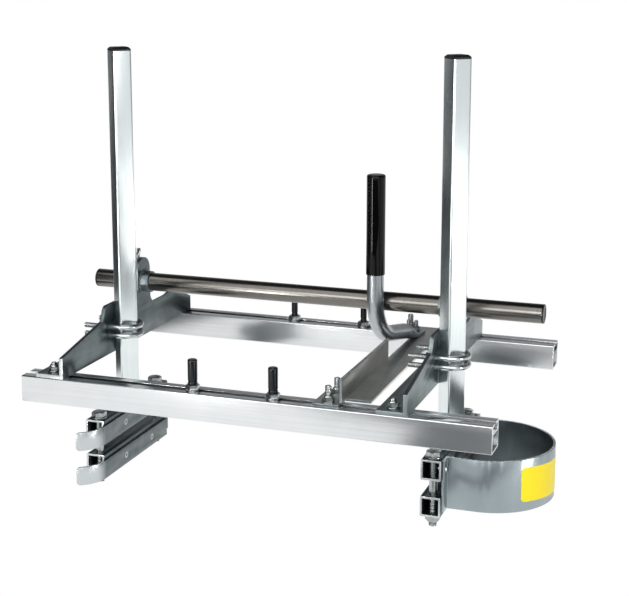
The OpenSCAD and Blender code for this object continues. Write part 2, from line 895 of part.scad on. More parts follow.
// Stations along the handle's centre line, from its top to the end of its flat foot.
// Each holds the reach, the height from the bend's start, the turn of the section,
// half of its width, half of its thickness, and how square it is
handle_stations =
    let (
        r = handle_d / 2,
        level = pad_z - top_z - handle_bend_z,
        upright = handle_top - grip_wall * 2 - handle_bend_z,
        bend_steps = 10,
        squeeze_steps = 8
    )
    concat(
        [[0, upright, 0, r, r, 2], [0, 0, 0, r, r, 2]],
        [for (k = [1:bend_steps])
            let (b = handle_bend * k / bend_steps)
            [handle_bend_r * (1 - cos(b)), -handle_bend_r * sin(b), b, r, r, 2]],
        [for (k = [0:squeeze_steps])
            let (t = k / squeeze_steps, ease = t * t * (3 - 2 * t))
            [
                tail_reach + (pad_reach - tail_reach) * t,
                -bend_drop + (level + bend_drop) * (0.4 * t + 0.6 * ease),
                handle_bend + (90 - handle_bend) * t,
                r + (pad_w / 2 - r) * ease,
                r + (pad_t / 2 - r) * ease,
                2 + 6 * ease
            ]],
        [[pad_reach + pad_len, level, 90, pad_w / 2, pad_t / 2, 8]]
    );

// Points of the section at one station
function section_ring(station, count) =
    [for (i = [0:count - 1])
        let (
            a = 360 * i / count,
            side = station[3] * sign(cos(a)) * pow(abs(cos(a)), 2 / station[5]),
            up = station[4] * sign(sin(a)) * pow(abs(sin(a)), 2 / station[5])
        )
        [station[0] + up * cos(station[2]), side, station[1] + up * sin(station[2])]];

// One bent tube whose lower end is squeezed flat, bored from its top and drilled for its bolts
module handle_tube() {
    count = 28;
    rings = [for (station = handle_stations) section_ring(station, count)];
    steps = len(rings) - 1;
    first = handle_stations[0];
    end = handle_stations[steps];
    apex = count * (steps + 1);
    points = concat(
        [for (ring = rings) for (point = ring) point],
        [[first[0], 0, first[1]], [end[0], 0, end[1]]]
    );
    walls = [for (k = [0:steps - 1], i = [0:count - 1])
        let (a = k * count + i, b = k * count + (i + 1) % count)
        each [[a, b, a + count], [b, b + count, a + count]]];
    caps = [for (i = [0:count - 1])
        let (j = (i + 1) % count)
        each [[apex, j, i], [apex + 1, steps * count + i, steps * count + j]]];
    color("#8D8F8E") at_handle() difference() {
        polyhedron(points, concat(walls, caps));
        cylinder(d = handle_d - 2 * handle_wall, h = first[1] + eps);
        for (side = [-1, 1])
            translate([pad_reach + pad_len / 2, side * pad_bolt_pitch / 2, end[1] - pad_t])
                cylinder(d = pad_bolt_d + 2 * bolt_gap, h = 2 * pad_t);
    }
}

// Closed moulded sleeve pushed over the upright
module handle_grip() {
    outer = handle_d / 2 + run_gap / 2 + grip_wall;
    top = handle_top - handle_bend_z;
    color("#141416") at_handle() translate([0, 0, top - grip_len])
        rotate_extrude()
            difference() {
                union() {
                    square([outer, grip_len - 3]);
                    square([outer - 3, grip_len]);
                    translate([outer - 3, grip_len - 3]) intersection() {
                        circle(3);
                        square(3);
                    }
                }
                translate([0, -eps]) square([handle_d / 2 + run_gap / 2, grip_len - 2 * grip_wall + eps]);
            }
}

// Bolts that hold the flattened end: heads under the foot, tips above the nuts
module handle_bolts() {
    z_end = cross_t + pad_t + pad_nut_h + pad_tip;
    color("#A9AEB0") placed() at_pad()
        for (side = [-1, 1])
            translate([side * pad_bolt_pitch / 2, 0, 0]) {
                translate([0, 0, -pad_head_h]) rotate([0, 0, 30]) hex(pad_af, pad_head_h);
                translate([0, 0, -eps]) rod(pad_bolt_d, z_end + eps);
            }
}

module handle_nuts() {
    color("#8F9698") placed() at_pad()
        for (side = [-1, 1])
            translate([side * pad_bolt_pitch / 2, 0, cross_t + pad_t]) {
                rotate([0, 0, 30]) nut(pad_af, pad_nut_h, pad_bolt_d);
            }
}

// Stop studs

// Stud that hangs in a rail's channel, with a smooth shoulder above its nut and a rounded top
module stud_at(x, y, height, shoulder_d) {
    round_r = 2;
    foot = top_z + stud_nut_h;
    color("#7B8082") placed() translate([x, y, 0]) {
        slot_bolt(stud_d, foot + 4);
        translate([0, 0, foot])
            rotate_extrude() {
                square([shoulder_d / 2, top_z + height - foot - round_r]);
                square([shoulder_d / 2 - round_r, top_z + height - foot]);
                translate([shoulder_d / 2 - round_r, top_z + height - foot - round_r])
                    intersection() {
                        circle(round_r);
                        square(round_r);
                    }
            }
    }
}

// Flanged nut seated on the rail
module stud_nut_at(x, y) {
    color("#8F9698") placed() translate([x, y, top_z]) {
        difference() {
            cylinder(d = stud_flange_d, h = stud_flange_h);
            translate([0, 0, -eps]) cylinder(d = stud_d + 2 * run_gap, h = stud_flange_h + 2 * eps);
        }
        translate([0, 0, stud_flange_h]) nut(stud_af, stud_nut_h - stud_flange_h, stud_d);
    }
}

module front_left_stud() { stud_at(left_stud_x, front_y, front_stud_h, front_stud_d); }
module front_right_stud() { stud_at(right_stud_x, front_y, front_stud_h, front_stud_d); }
module rear_left_stud() { stud_at(left_stud_x, rear_y, rear_stud_h, rear_stud_d); }
module rear_right_stud() { stud_at(right_stud_x, rear_y, rear_stud_h, rear_stud_d); }
module front_left_stud_nut() { stud_nut_at(left_stud_x, front_y); }
module front_right_stud_nut() { stud_nut_at(right_stud_x, front_y); }
module rear_left_stud_nut() { stud_nut_at(left_stud_x, rear_y); }
module rear_right_stud_nut() { stud_nut_at(right_stud_x, rear_y); }

front_rail();
rear_rail();
left_end_bracket();
left_bar_sleeve();
left_u_bolts();
left_u_bolt_nuts();
left_foot_bolts();
left_foot_nuts();
right_end_bracket();
right_bar_sleeve();
right_u_bolts();
right_u_bolt_nuts();
right_foot_bolts();
right_foot_nuts();
left_wing_screw();
right_wing_screw();
push_bar();
push_bar_plugs();
left_post();
left_post_cap();
left_upper_jaw();
left_upper_skid();
left_upper_skid_screws();
left_jaw_bolts();
left_lower_jaw();
left_lower_skid();
left_lower_skid_screws();
left_jaw_nuts();
right_post();
right_post_cap();
right_upper_jaw();
nose_guard();
guard_screws();
right_jaw_bolts();
right_lower_jaw();
right_jaw_nuts();
cross_bracket();
cross_foot_bolts();
cross_foot_nuts();
handle_tube();
handle_grip();
handle_bolts();
handle_nuts();
front_left_stud();
front_left_stud_nut();
front_right_stud();
front_right_stud_nut();
rear_left_stud();
rear_left_stud_nut();
rear_right_stud();
rear_right_stud_nut();
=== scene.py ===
# Portable log saw stand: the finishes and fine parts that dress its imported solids.
# Metres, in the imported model's frame: X along the rails, Y across them from front to back, Z up.
import json
import math

import bmesh
import bpy
from mathutils import Matrix, Vector


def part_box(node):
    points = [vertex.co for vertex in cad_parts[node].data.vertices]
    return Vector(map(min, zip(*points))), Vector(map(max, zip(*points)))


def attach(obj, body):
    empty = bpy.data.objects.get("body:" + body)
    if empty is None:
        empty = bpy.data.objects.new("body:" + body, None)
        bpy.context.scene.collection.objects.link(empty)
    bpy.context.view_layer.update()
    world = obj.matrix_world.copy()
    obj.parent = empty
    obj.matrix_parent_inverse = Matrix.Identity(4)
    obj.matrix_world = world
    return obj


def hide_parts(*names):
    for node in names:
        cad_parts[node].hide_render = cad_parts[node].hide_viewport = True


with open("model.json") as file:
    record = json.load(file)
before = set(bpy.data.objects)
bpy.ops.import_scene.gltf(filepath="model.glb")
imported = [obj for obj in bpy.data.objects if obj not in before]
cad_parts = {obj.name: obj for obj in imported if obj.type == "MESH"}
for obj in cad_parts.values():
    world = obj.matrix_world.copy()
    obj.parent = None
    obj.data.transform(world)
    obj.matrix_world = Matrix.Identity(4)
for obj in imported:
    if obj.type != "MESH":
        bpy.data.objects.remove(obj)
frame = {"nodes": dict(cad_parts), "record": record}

MM = 0.001
TAU = 2 * math.pi
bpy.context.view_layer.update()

# Camera, fitted to the straight edges in the photograph
IMAGE_W = 629
FOCAL_PX = 1417.6
CAMERA_SHIFT = -0.1
CAMERA_TURN = math.radians(19.46)
CAMERA_DIP = math.radians(11.11)
CAMERA_PLACE = Vector((608.1, -1713.2, 677.3)) * MM

# Sizes that the fastenings share with the part's source
WASHER_T = 1.6 * MM
FOOT_FLATS = 13 * MM
FOOT_THREAD = 8 * MM
JAW_FLATS = 17 * MM
JAW_THREAD = 10 * MM
U_FLATS = 11 * MM
U_THREAD = 7 * MM
PAD_FLATS = 10 * MM
PAD_THREAD = 6 * MM
STUD_FLATS = 15 * MM
STUD_THREAD = 8 * MM
STUD_FLANGE_T = 2 * MM
SLOT_HEAD_T = 5.5 * MM
GUARD_R = 80 * MM

# How every screwed part is finished
TIP = 0.8 * MM  # bevelled end of a rod
ROOT = 0.2 * MM  # a shank starts this deep in its head
FIT = 0.05 * MM  # room between a thread and the bore round it
THREAD_DEPTH = 0.6  # share of the pitch
CHAMFER = 0.96  # a hexagon's face is this share of its flats
CONE = math.tan(math.radians(28))  # slope of the cone that turns its corners off
FACETS = 48  # round a nut or a bolt head


# Camera and light

def make_camera():
    data = bpy.data.cameras.new("camera")
    data.sensor_width = 36
    data.lens = FOCAL_PX * data.sensor_width / IMAGE_W
    data.shift_y = CAMERA_SHIFT
    data.clip_end = 50
    camera = bpy.data.objects.new("camera", data)
    camera.location = CAMERA_PLACE
    camera.rotation_euler = (math.radians(90) - CAMERA_DIP, 0, CAMERA_TURN)
    bpy.context.scene.collection.objects.link(camera)
    bpy.context.scene.camera = camera


def softbox(name, place, aim, width, height, power):
    """A large soft white lamp that faces the point it aims at."""
    data = bpy.data.lights.new(name, "AREA")
    data.shape = "RECTANGLE"
    data.size = width
    data.size_y = height
    data.energy = power
    lamp = bpy.data.objects.new(name, data)
    lamp.location = place
    lamp.rotation_euler = (Vector(aim) - Vector(place)).to_track_quat("-Z", "Y").to_euler()
    bpy.context.scene.collection.objects.link(lamp)


def card(name, corners, material):
    """A flat card of the studio, given by its corners; it isn't part of the object."""
    mesh = bpy.data.meshes.new(name)
    mesh.from_pydata(corners, [], [list(range(len(corners)))])
    made = bpy.data.objects.new(name, mesh)
    made.data.materials.append(material)
    bpy.context.scene.collection.objects.link(made)


def laid(name, x, y, z, material):
    """A card that lies level at a height, between two places along X and along Y."""
    card(name, [(x[0], y[0], z), (x[1], y[0], z), (x[1], y[1], z), (x[0], y[1], z)], material)


# Materials

def linear(code, alpha=1.0):
    """An sRGB hex colour as linear values."""
    parts = [int(code[k:k + 2], 16) / 255 for k in (1, 3, 5)]
    return tuple(c / 12.92 if c <= 0.04045 else ((c + 0.055) / 1.055) ** 2.4 for c in parts) + (alpha,)


def add(tree, kind, inputs=None, **settings):
    """Adds a node, then its settings and its inputs: each is a value or another node's output."""
    made = tree.nodes.new(kind)
    for name, value in settings.items():
        setattr(made, name, value)
    for name, value in (inputs or {}).items():
        socket = made.inputs[name]
        if isinstance(value, bpy.types.NodeSocket):
            tree.links.new(value, socket)
        else:
            socket.default_value = value
    return made


def new_material(name):
    """An empty material: its tree and its output node."""
    made = bpy.data.materials.new(name)
    made.use_nodes = True
    made.node_tree.nodes.clear()
    return made, made.node_tree, add(made.node_tree, "ShaderNodeOutputMaterial")


def metal(name, light, dark, rough, grain, depth, cloud=60, clouds=0.5, painted_sheen=None):
    """A metal whose surface has a directional grain and slow, cloudy changes of tone.
    light and dark are its tones, rough its least and most roughness, grain the size of a
    grain line along X, Y and Z in millimetres, depth the grain's height in millimetres,
    cloud the clouds' size in millimetres and clouds how much of the tone they take. painted_sheen
    is a painted brighter tone, for reflected light, that comes in along Y, and the two places where it starts
    and is full."""
    made, tree, output = new_material(name)
    place = add(tree, "ShaderNodeTexCoord").outputs["Object"]
    lines = add(tree, "ShaderNodeMapping", {"Vector": place, "Scale": [1 / (size * MM) for size in grain]})
    streaks = add(tree, "ShaderNodeTexNoise", {
        "Vector": lines.outputs[0], "Scale": 1.0, "Detail": 3.0, "Roughness": 0.6}).outputs["Fac"]
    patches = add(tree, "ShaderNodeTexNoise", {
        "Vector": place, "Scale": 1 / (cloud * MM), "Detail": 2.0, "Roughness": 0.5}).outputs["Fac"]
    spread = add(tree, "ShaderNodeMapRange", {
        "Value": streaks, "From Min": 0.3, "From Max": 0.7}).outputs[0]
    slow = add(tree, "ShaderNodeMapRange", {
        "Value": patches, "From Min": 0.35, "From Max": 0.65}).outputs[0]
    tone = add(tree, "ShaderNodeMix", {0: clouds, 2: spread, 3: slow}, data_type="FLOAT").outputs[0]
    colour = add(tree, "ShaderNodeMix", {
        0: tone, 6: linear(dark), 7: linear(light)}, data_type="RGBA").outputs[2]
    if painted_sheen:
        along = add(tree, "ShaderNodeSeparateXYZ", {0: place}).outputs["Y"]
        share = add(tree, "ShaderNodeMapRange", {
            "Value": along, "From Min": painted_sheen[1] * MM, "From Max": painted_sheen[2] * MM},
            interpolation_type="SMOOTHSTEP").outputs[0]
        colour = add(tree, "ShaderNodeMix", {
            0: share, 6: colour, 7: linear(painted_sheen[0])}, data_type="RGBA").outputs[2]
    roughness = add(tree, "ShaderNodeMapRange", {
        "Value": tone, "To Min": rough[1], "To Max": rough[0]}).outputs[0]
    relief = add(tree, "ShaderNodeBump", {
        "Height": streaks, "Distance": depth * MM, "Strength": 0.6}).outputs[0]
    shader = add(tree, "ShaderNodeBsdfPrincipled", {
        "Base Color": colour, "Roughness": roughness, "Metallic": 1.0, "Normal": relief})
    tree.links.new(shader.outputs[0], output.inputs[0])
    return made


def moulded(name, colour, rough, grain, depth, coat=0.0, shine=0.5):
    """A moulded plastic between two colours and two roughnesses, with an even texture: grain is its
    size and depth its height in millimetres. shine is how much it mirrors, coat its clear film."""
    made, tree, output = new_material(name)
    place = add(tree, "ShaderNodeTexCoord").outputs["Object"]
    texture = add(tree, "ShaderNodeTexNoise", {
        "Vector": place, "Scale": 1 / (grain * MM), "Detail": 2.0}).outputs["Fac"]
    slow = add(tree, "ShaderNodeTexNoise", {"Vector": place, "Scale": 1 / (14 * MM)}).outputs["Fac"]
    tint = add(tree, "ShaderNodeMix", {
        0: slow, 6: linear(colour[0]), 7: linear(colour[1])}, data_type="RGBA").outputs[2]
    roughness = add(tree, "ShaderNodeMapRange", {
        "Value": slow, "From Min": 0.3, "From Max": 0.7, "To Min": rough[0], "To Max": rough[1]}).outputs[0]
    relief = add(tree, "ShaderNodeBump", {
        "Height": texture, "Distance": depth * MM, "Strength": 0.5}).outputs[0]
    shader = add(tree, "ShaderNodeBsdfPrincipled", {
        "Base Color": tint, "Roughness": roughness, "IOR": 1.5, "Coat Weight": coat,
        "Specular IOR Level": shine, "Coat Roughness": 0.08, "Normal": relief})
    tree.links.new(shader.outputs[0], output.inputs[0])
    return made


def studio_floor():
    """White floor paper, evenly lit. The camera sees the white world in its place, so a post that
    is let down below the floor stays in view."""
    made, tree, output = new_material("floor_paper")
    rays = add(tree, "ShaderNodeLightPath")
    mirrored = add(tree, "ShaderNodeMath", {
        0: rays.outputs["Is Glossy Ray"], 1: rays.outputs["Is Transmission Ray"]}, operation="ADD").outputs[0]
    share = add(tree, "ShaderNodeMath", {0: mirrored, 1: 0.8}, operation="MULTIPLY").outputs[0]
    paper = add(tree, "ShaderNodeBsdfDiffuse", {"Color": linear("#F4F4F2")}).outputs[0]
    glow = add(tree, "ShaderNodeEmission", {"Color": linear("#FFFFFF"), "Strength": 1.22}).outputs[0]
    lit = add(tree, "ShaderNodeMixShader", {0: share, 1: paper, 2: glow}).outputs[0]
    clear = add(tree, "ShaderNodeBsdfTransparent").outputs[0]
    mixed = add(tree, "ShaderNodeMixShader", {
        0: rays.outputs["Is Camera Ray"], 1: lit, 2: clear}).outputs[0]
    tree.links.new(mixed, output.inputs[0])
    return made


def flag_cloth(name, colour):
    """Dull studio cloth, which only shows in what the metal mirrors."""
    made, tree, output = new_material(name)
    cloth = add(tree, "ShaderNodeBsdfDiffuse", {"Color": linear(colour)}).outputs[0]
    clear = add(tree, "ShaderNodeBsdfTransparent").outputs[0]
    mirrored = add(tree, "ShaderNodeLightPath").outputs["Is Glossy Ray"]
    mixed = add(tree, "ShaderNodeMixShader", {0: mirrored, 1: clear, 2: cloth}).outputs[0]
    tree.links.new(mixed, output.inputs[0])
    return made


# Extruded aluminium, clear anodised: pale and satin, with fine die lines along the rail
rail_metal = metal("anodised_aluminium", "#DCDEDF", "#D0D3D4", (0.17, 0.23), (260, 2.4, 2.4), 0.006, cloud=70)
# Sawn end of the extrusion: brighter, with short saw lines
sawn_metal = metal("sawn_aluminium", "#ECEEEE", "#D6D9DA", (0.34, 0.46), (1.2, 1.2, 9), 0.02, cloud=9)
# Drawn steel tube, bright zinc plated: nearly white, smooth, with faint draw lines up the post
post_metal = metal("bright_zinc_tube", "#E3E9E9", "#D8DFE0", (0.18, 0.28), (2.2, 2.2, 160), 0.006, cloud=45)
# Rolled steel plate, dull blue zinc: mid grey with the sheet's rolling lines across the rails
plate_metal = metal("blue_zinc_plate", "#8C9597", "#798284", (0.30, 0.42), (3, 90, 3), 0.012, cloud=30)
# The left bracket: the same zinc painted darker, as shade that falls on it
painted_shade_plate = metal("zinc_plate_painted_shade", "#727B7D", "#626B6D", (0.32, 0.44), (3, 90, 3), 0.012, cloud=30)
# Bent sheet, the same zinc with a warmer tone where it was wiped
sheet_metal = metal("wiped_zinc_sheet", "#C0C1BD", "#ABADA9", (0.28, 0.42), (3, 110, 3), 0.012, cloud=26)
# Its faces that look along +X, mainly the upright web: the same sheet painted lighter, as light falling on
# that side
painted_light_web = metal("web_painted_light", "#E2E0DA", "#D0CEC8", (0.26, 0.40), (3, 110, 3), 0.012, cloud=26)
# Broken edges and sheared ends of the plates: bright steel, a painted highlight where the edges catch the
# light
painted_edge_highlight = metal("edge_painted_highlight", "#CDD1D1", "#B1B6B7", (0.24, 0.36), (6, 6, 6), 0.01, cloud=12)
# Square jaw tube, zinc over a mill surface: darker and a little rougher
jaw_metal = metal("zinc_jaw_tube", "#5F686B", "#4E5659", (0.30, 0.42), (2.5, 120, 2.5), 0.012, cloud=22)
# Strip steel of the skids: dark along its run, its curved nose painted bright as reflected light
skid_metal = metal("strip_painted_nose_sheen", "#666F72", "#565E61", (0.28, 0.38), (3, 80, 3), 0.006, cloud=18,
                   painted_sheen=("#BFC4C5", -148, -170))
# Rolled guard sheet: satin steel, even, with soft tones round the bend
guard_metal = metal("satin_steel_sheet", "#9DA7AB", "#8F9A9E", (0.26, 0.36), (40, 40, 300), 0.004, cloud=40)
# Inside of the guard: the same sheet painted darker, as shade inside the bend
painted_shade_inside = metal("guard_inside_painted_shade", "#5A6265", "#4A5255", (0.38, 0.50), (40, 40, 300), 0.004, cloud=30)
# Polished steel tube: it mirrors light and dark in long bands, with faint polishing rings
bar_metal = metal("polished_tube", "#7C7975", "#6D6A66", (0.18, 0.27), (1.4, 60, 60), 0.004, cloud=80)
# Satin handle tube, its polishing rings round the upright
handle_metal = metal("satin_handle", "#B0B5B8", "#9DA3A7", (0.26, 0.36), (60, 60, 1.4), 0.004, cloud=80)
# Zinc plated fastenings: small, bright and slightly uneven
bolt_metal = metal("zinc_fastening", "#B2B5B5", "#8F9394", (0.20, 0.34), (5, 5, 5), 0.02, cloud=6)
# Chromed rod of the post clamps
clamp_metal = metal("bright_rod", "#C9CBCB", "#AEB2B3", (0.10, 0.20), (40, 40, 1.5), 0.004, cloud=20)
# Turned studs, dark and polished, with turning lines round them
stud_metal = metal("turned_stud", "#3A3C3E", "#2C2E30", (0.14, 0.26), (40, 40, 1.2), 0.008, cloud=12)
# Bead of weld metal, plated over: lumpy and a little dull
weld_metal = metal("weld_bead", "#8D9496", "#6B7274", (0.34, 0.50), (1.5, 1.5, 1.5), 0.05, cloud=4)
# Polyethylene caps and plugs: deep black with a soft moulded sheen
cap_plastic = moulded("black_polyethylene", ("#0E0F10", "#161718"), (0.30, 0.42), 0.8, 0.02, shine=0.3)
# Dipped vinyl grip: wet black with thin, sharp lights
grip_plastic = moulded("dipped_vinyl", ("#030303", "#060606"), (0.05, 0.08), 5.0, 0.012, shine=0.18)
# Laminated sticker stock: plain yellow under a clear film
label_film = moulded("yellow_sticker", ("#E6D00C", "#E2CB08"), (0.40, 0.50), 3.0, 0.01, coat=0.15, shine=0.3)


# Shapes

def lathe(bm, outline, place=None, count=32, hollow=False):
    """Turns an outline of (radius, height) pairs about Z, from its bottom up its outside.
    A radius or height may be a function of the angle. A hollow outline closes on itself,
    a solid one gets a flat face at each end. place sets where and how it stands."""
    place = place or Matrix()
    rows = []
    for radius, height in outline:
        row = []
        for i in range(count):
            a = TAU * i / count
            r = radius(a) if callable(radius) else radius
            z = height(a) if callable(height) else height
            row.append(bm.verts.new(place @ Vector((r * math.cos(a), r * math.sin(a), z))))
        rows.append(row)
    if hollow:
        rows.append(rows[0])
    else:
        bm.faces.new(reversed(rows[0]))
        bm.faces.new(rows[-1])
    for low, high in zip(rows, rows[1:]):
        for i in range(count):
            j = (i + 1) % count
            bm.faces.new((low[i], low[j], high[j], high[i]))


def rounded(outline, radius, steps=3, closed=False):
    """Rounds the corners of an outline of points; a short side takes a smaller radius."""
    points = [Vector(p) for p in outline]
    count = len(points)
    result = []
    for k, corner in enumerate(points):
        if not closed and k in (0, count - 1):
            result.append(tuple(corner))
            continue
        before = points[k - 1] - corner
        after = points[(k + 1) % count] - corner
        reach = min(radius, 0.45 * before.length, 0.45 * after.length)
        start = corner + before.normalized() * reach
        end = corner + after.normalized() * reach
        for step in range(steps + 1):
            t = step / steps
            result.append(tuple(start * (1 - t) ** 2 + corner * 2 * t * (1 - t) + end * t * t))
    return result


def sweep(bm, path, sections):
    """Carries a section along a path of points without twist. sections holds, for each point
    of the path, a list of (side, up) pairs; the ends are closed."""
    path = [Vector(p) for p in path]
    steps = len(path) - 1
    ahead = [(path[min(k + 1, steps)] - path[max(k - 1, 0)]).normalized() for k in range(steps + 1)]
    side = ahead[0].orthogonal().normalized()
    rows = []
    for k, point in enumerate(path):
        side = (side - ahead[k] * side.dot(ahead[k])).normalized()
        up = ahead[k].cross(side)
        rows.append([bm.verts.new(point + side * s + up * u) for s, u in sections[k]])
    count = len(rows[0])
    for low, high in zip(rows, rows[1:]):
        for i in range(count):
            j = (i + 1) % count
            bm.faces.new((low[i], low[j], high[j], high[i]))
    bm.faces.new(reversed(rows[0]))
    bm.faces.new(rows[-1])


def circle_section(radius, count=24):
    return [(radius * math.cos(TAU * i / count), radius * math.sin(TAU * i / count)) for i in range(count)]


def hexagon(flats):
    """The radius of a hexagon at an angle, for its width across flats."""
    return lambda a: flats / 2 / math.cos((a + TAU / 12) % (TAU / 6) - TAU / 12)


def hex_outline(flats, low, high, bore=None):
    """Outline of a nut or a bolt head: a hexagon whose corners are turned off by a cone."""
    wide = hexagon(flats)
    chamfer = flats / 2 * CHAMFER
    drop = lambda a: (wide(a) - chamfer) * CONE
    outline = [(chamfer, low), (wide, lambda a: low + drop(a)), (wide, lambda a: high - drop(a)),
               (chamfer, high)]
    if bore:
        ease = 0.5 * MM
        outline = [(bore, low + ease), (bore + ease, low)] + outline
        outline += [(bore + ease, high), (bore, high - ease)]
    return outline


def washer(bm, radius, bore, place):
    lathe(bm, rounded([(bore, 0), (radius, 0), (radius, WASHER_T), (bore, WASHER_T)], 0.4 * MM, closed=True),
          place, hollow=True)


def upright(x, y, z, turn=0.0):
    """Stands a turned shape at a point, its axis up."""
    return Matrix.Translation((x, y, z)) @ Matrix.Rotation(turn, 4, "Z")


def solids(node):
    """The lowest and highest corners of each separate solid of a CAD node, sorted by Y, X and Z."""
    bm = bmesh.new()
    bm.from_mesh(frame["nodes"][node].data)
    bmesh.ops.remove_doubles(bm, verts=bm.verts, dist=1e-6)
    left = set(bm.verts)
    found = []
    while left:
        reached = [left.pop()]
        for vert in reached:
            for edge in vert.link_edges:
                other = edge.other_vert(vert)
                if other in left:
                    left.remove(other)
                    reached.append(other)
        found.append(tuple(Vector([pick(v.co[k] for v in reached) for k in range(3)]) for pick in (min, max)))
    bm.free()
    return sorted(found, key=lambda box: (round(box[0].y, 4), round(box[0].x, 4), round(box[0].z, 4)))


def body_of(node):
    for body, members in frame["record"]["behaviour"]["bodies"].items():
        if node in members:
            return body


def settle(name, mesh, material, node, replaced=True, smooth=35):
    """Makes a mesh a piece that stands for a CAD node, or that goes with it. Edges sharper than
    smooth degrees stay sharp; without a material the mesh keeps its own."""
    if material:
        mesh.materials.clear()
        mesh.materials.append(material)
    mesh.shade_smooth()
    mesh.set_sharp_from_angle(angle=math.radians(smooth))
    piece = bpy.data.objects.new(name, mesh)
    bpy.context.scene.collection.objects.link(piece)
    if replaced:
        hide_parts(node)
    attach(piece, body_of(node))


def built(name, bm, material, node, replaced=True, smooth=35):
    """Turns a finished bmesh into a piece."""
    bmesh.ops.recalc_face_normals(bm, faces=bm.faces)
    mesh = bpy.data.meshes.new(name)
    bm.to_mesh(mesh)
    bm.free()
    settle(name, mesh, material, node, replaced, smooth)


def evaluated(carrier, name):
    """The plain mesh that an object's modifiers make; the object itself is removed."""
    bpy.context.view_layer.update()
    shown = carrier.evaluated_get(bpy.context.evaluated_depsgraph_get())
    mesh = bpy.data.meshes.new_from_object(shown)
    mesh.name = name
    bpy.data.objects.remove(carrier)
    return mesh


def softened(node, *metals, edge=0.5, segments=2, pick=None, highlit_edges=True):
    """A copy of a CAD node with its sharp edges broken by edge millimetres, which stands for it.
    metals are its body's material, then that of its broken edges, painted bright as highlight when
    highlit_edges is set, then any others; pick gives a face's place in that list from its normal and its
    middle."""
    bm = bmesh.new()
    bm.from_mesh(frame["nodes"][node].data)
    bmesh.ops.remove_doubles(bm, verts=bm.verts, dist=2e-6)
    bmesh.ops.dissolve_limit(bm, angle_limit=math.radians(0.5), verts=bm.verts, edges=bm.edges)
    if pick:
        for face in bm.faces:
            face.material_index = pick(face.normal, face.calc_center_median())
    mesh = bpy.data.meshes.new(node + "_bevelled")
    bm.to_mesh(mesh)
    bm.free()
    for one in metals:
        mesh.materials.append(one)
    mesh.shade_smooth()
    carrier = bpy.data.objects.new(node + "_carrier", mesh)
    bpy.context.scene.collection.objects.link(carrier)
    bevel = carrier.modifiers.new("edges", "BEVEL")
    bevel.width = edge * MM
    bevel.segments = segments
    bevel.limit_method = "ANGLE"
    bevel.angle_limit = math.radians(40)
    bevel.harden_normals = True
    bevel.miter_outer = "MITER_ARC"
    if len(metals) > 1 and highlit_edges:
        bevel.material = 1
    settle(node + "_finished", evaluated(carrier, node + "_bevelled"), None, node)


# Repeated fine parts, by Geometry Nodes

def node_tree(name, inputs):
    """A Geometry Nodes tree with one geometry going in and out, and named inputs for its sizes."""
    tree = bpy.data.node_groups.new(name, "GeometryNodeTree")
    tree.interface.new_socket("Geometry", in_out="INPUT", socket_type="NodeSocketGeometry")
    tree.interface.new_socket("Geometry", in_out="OUTPUT", socket_type="NodeSocketGeometry")
    for label, kind in inputs:
        tree.interface.new_socket(label, in_out="INPUT", socket_type=kind)
    return tree, add(tree, "NodeGroupInput"), add(tree, "NodeGroupOutput")


def grown(name, carrier_mesh, tree, values):
    """The plain mesh that a tree grows on a carrier mesh, with these values for its named inputs."""
    carrier = bpy.data.objects.new(name + "_carrier", carrier_mesh)
    bpy.context.scene.collection.objects.link(carrier)
    modifier = carrier.modifiers.new("grow", "NODES")
    modifier.node_group = tree
    for item in tree.interface.items_tree:
        if item.name in values:
            modifier[item.identifier] = values[item.name]
    return evaluated(carrier, name)


def thread_tree():
    """A ridge that winds up a rod, put at every point along its own direction."""
    tree, entry, leave = node_tree("rod_thread", [
        ("Radius", "NodeSocketFloat"), ("Pitch", "NodeSocketFloat"), ("Turns", "NodeSocketFloat"),
        ("Metal", "NodeSocketMaterial")])
    rise = add(tree, "ShaderNodeMath", {
        0: entry.outputs["Pitch"], 1: entry.outputs["Turns"]}, operation="MULTIPLY").outputs[0]
    ridge = add(tree, "ShaderNodeMath", {
        0: entry.outputs["Pitch"], 1: 0.36}, operation="MULTIPLY").outputs[0]
    core = add(tree, "ShaderNodeMath", {
        0: entry.outputs["Radius"], 1: ridge}, operation="SUBTRACT").outputs[0]
    helix = add(tree, "GeometryNodeCurveSpiral", {
        "Resolution": 20, "Rotations": entry.outputs["Turns"], "Start Radius": core, "End Radius": core,
        "Height": rise}).outputs[0]
    profile = add(tree, "GeometryNodeCurvePrimitiveCircle", {"Resolution": 6, "Radius": ridge}).outputs[0]
    wound = add(tree, "GeometryNodeCurveToMesh", {
        "Curve": helix, "Profile Curve": profile, "Fill Caps": True}).outputs[0]
    ahead = add(tree, "GeometryNodeInputNamedAttribute", {"Name": "ahead"}, data_type="FLOAT_VECTOR")
    turn = add(tree, "FunctionNodeAlignRotationToVector", {"Vector": ahead.outputs[0]}, axis="Z").outputs[0]
    placed = add(tree, "GeometryNodeInstanceOnPoints", {
        "Points": entry.outputs["Geometry"], "Instance": wound, "Rotation": turn}).outputs[0]
    plain = add(tree, "GeometryNodeRealizeInstances", {"Geometry": placed}).outputs[0]
    done = add(tree, "GeometryNodeSetMaterial", {
        "Geometry": plain, "Material": entry.outputs["Metal"]}).outputs[0]
    tree.links.new(done, leave.inputs[0])
    return tree


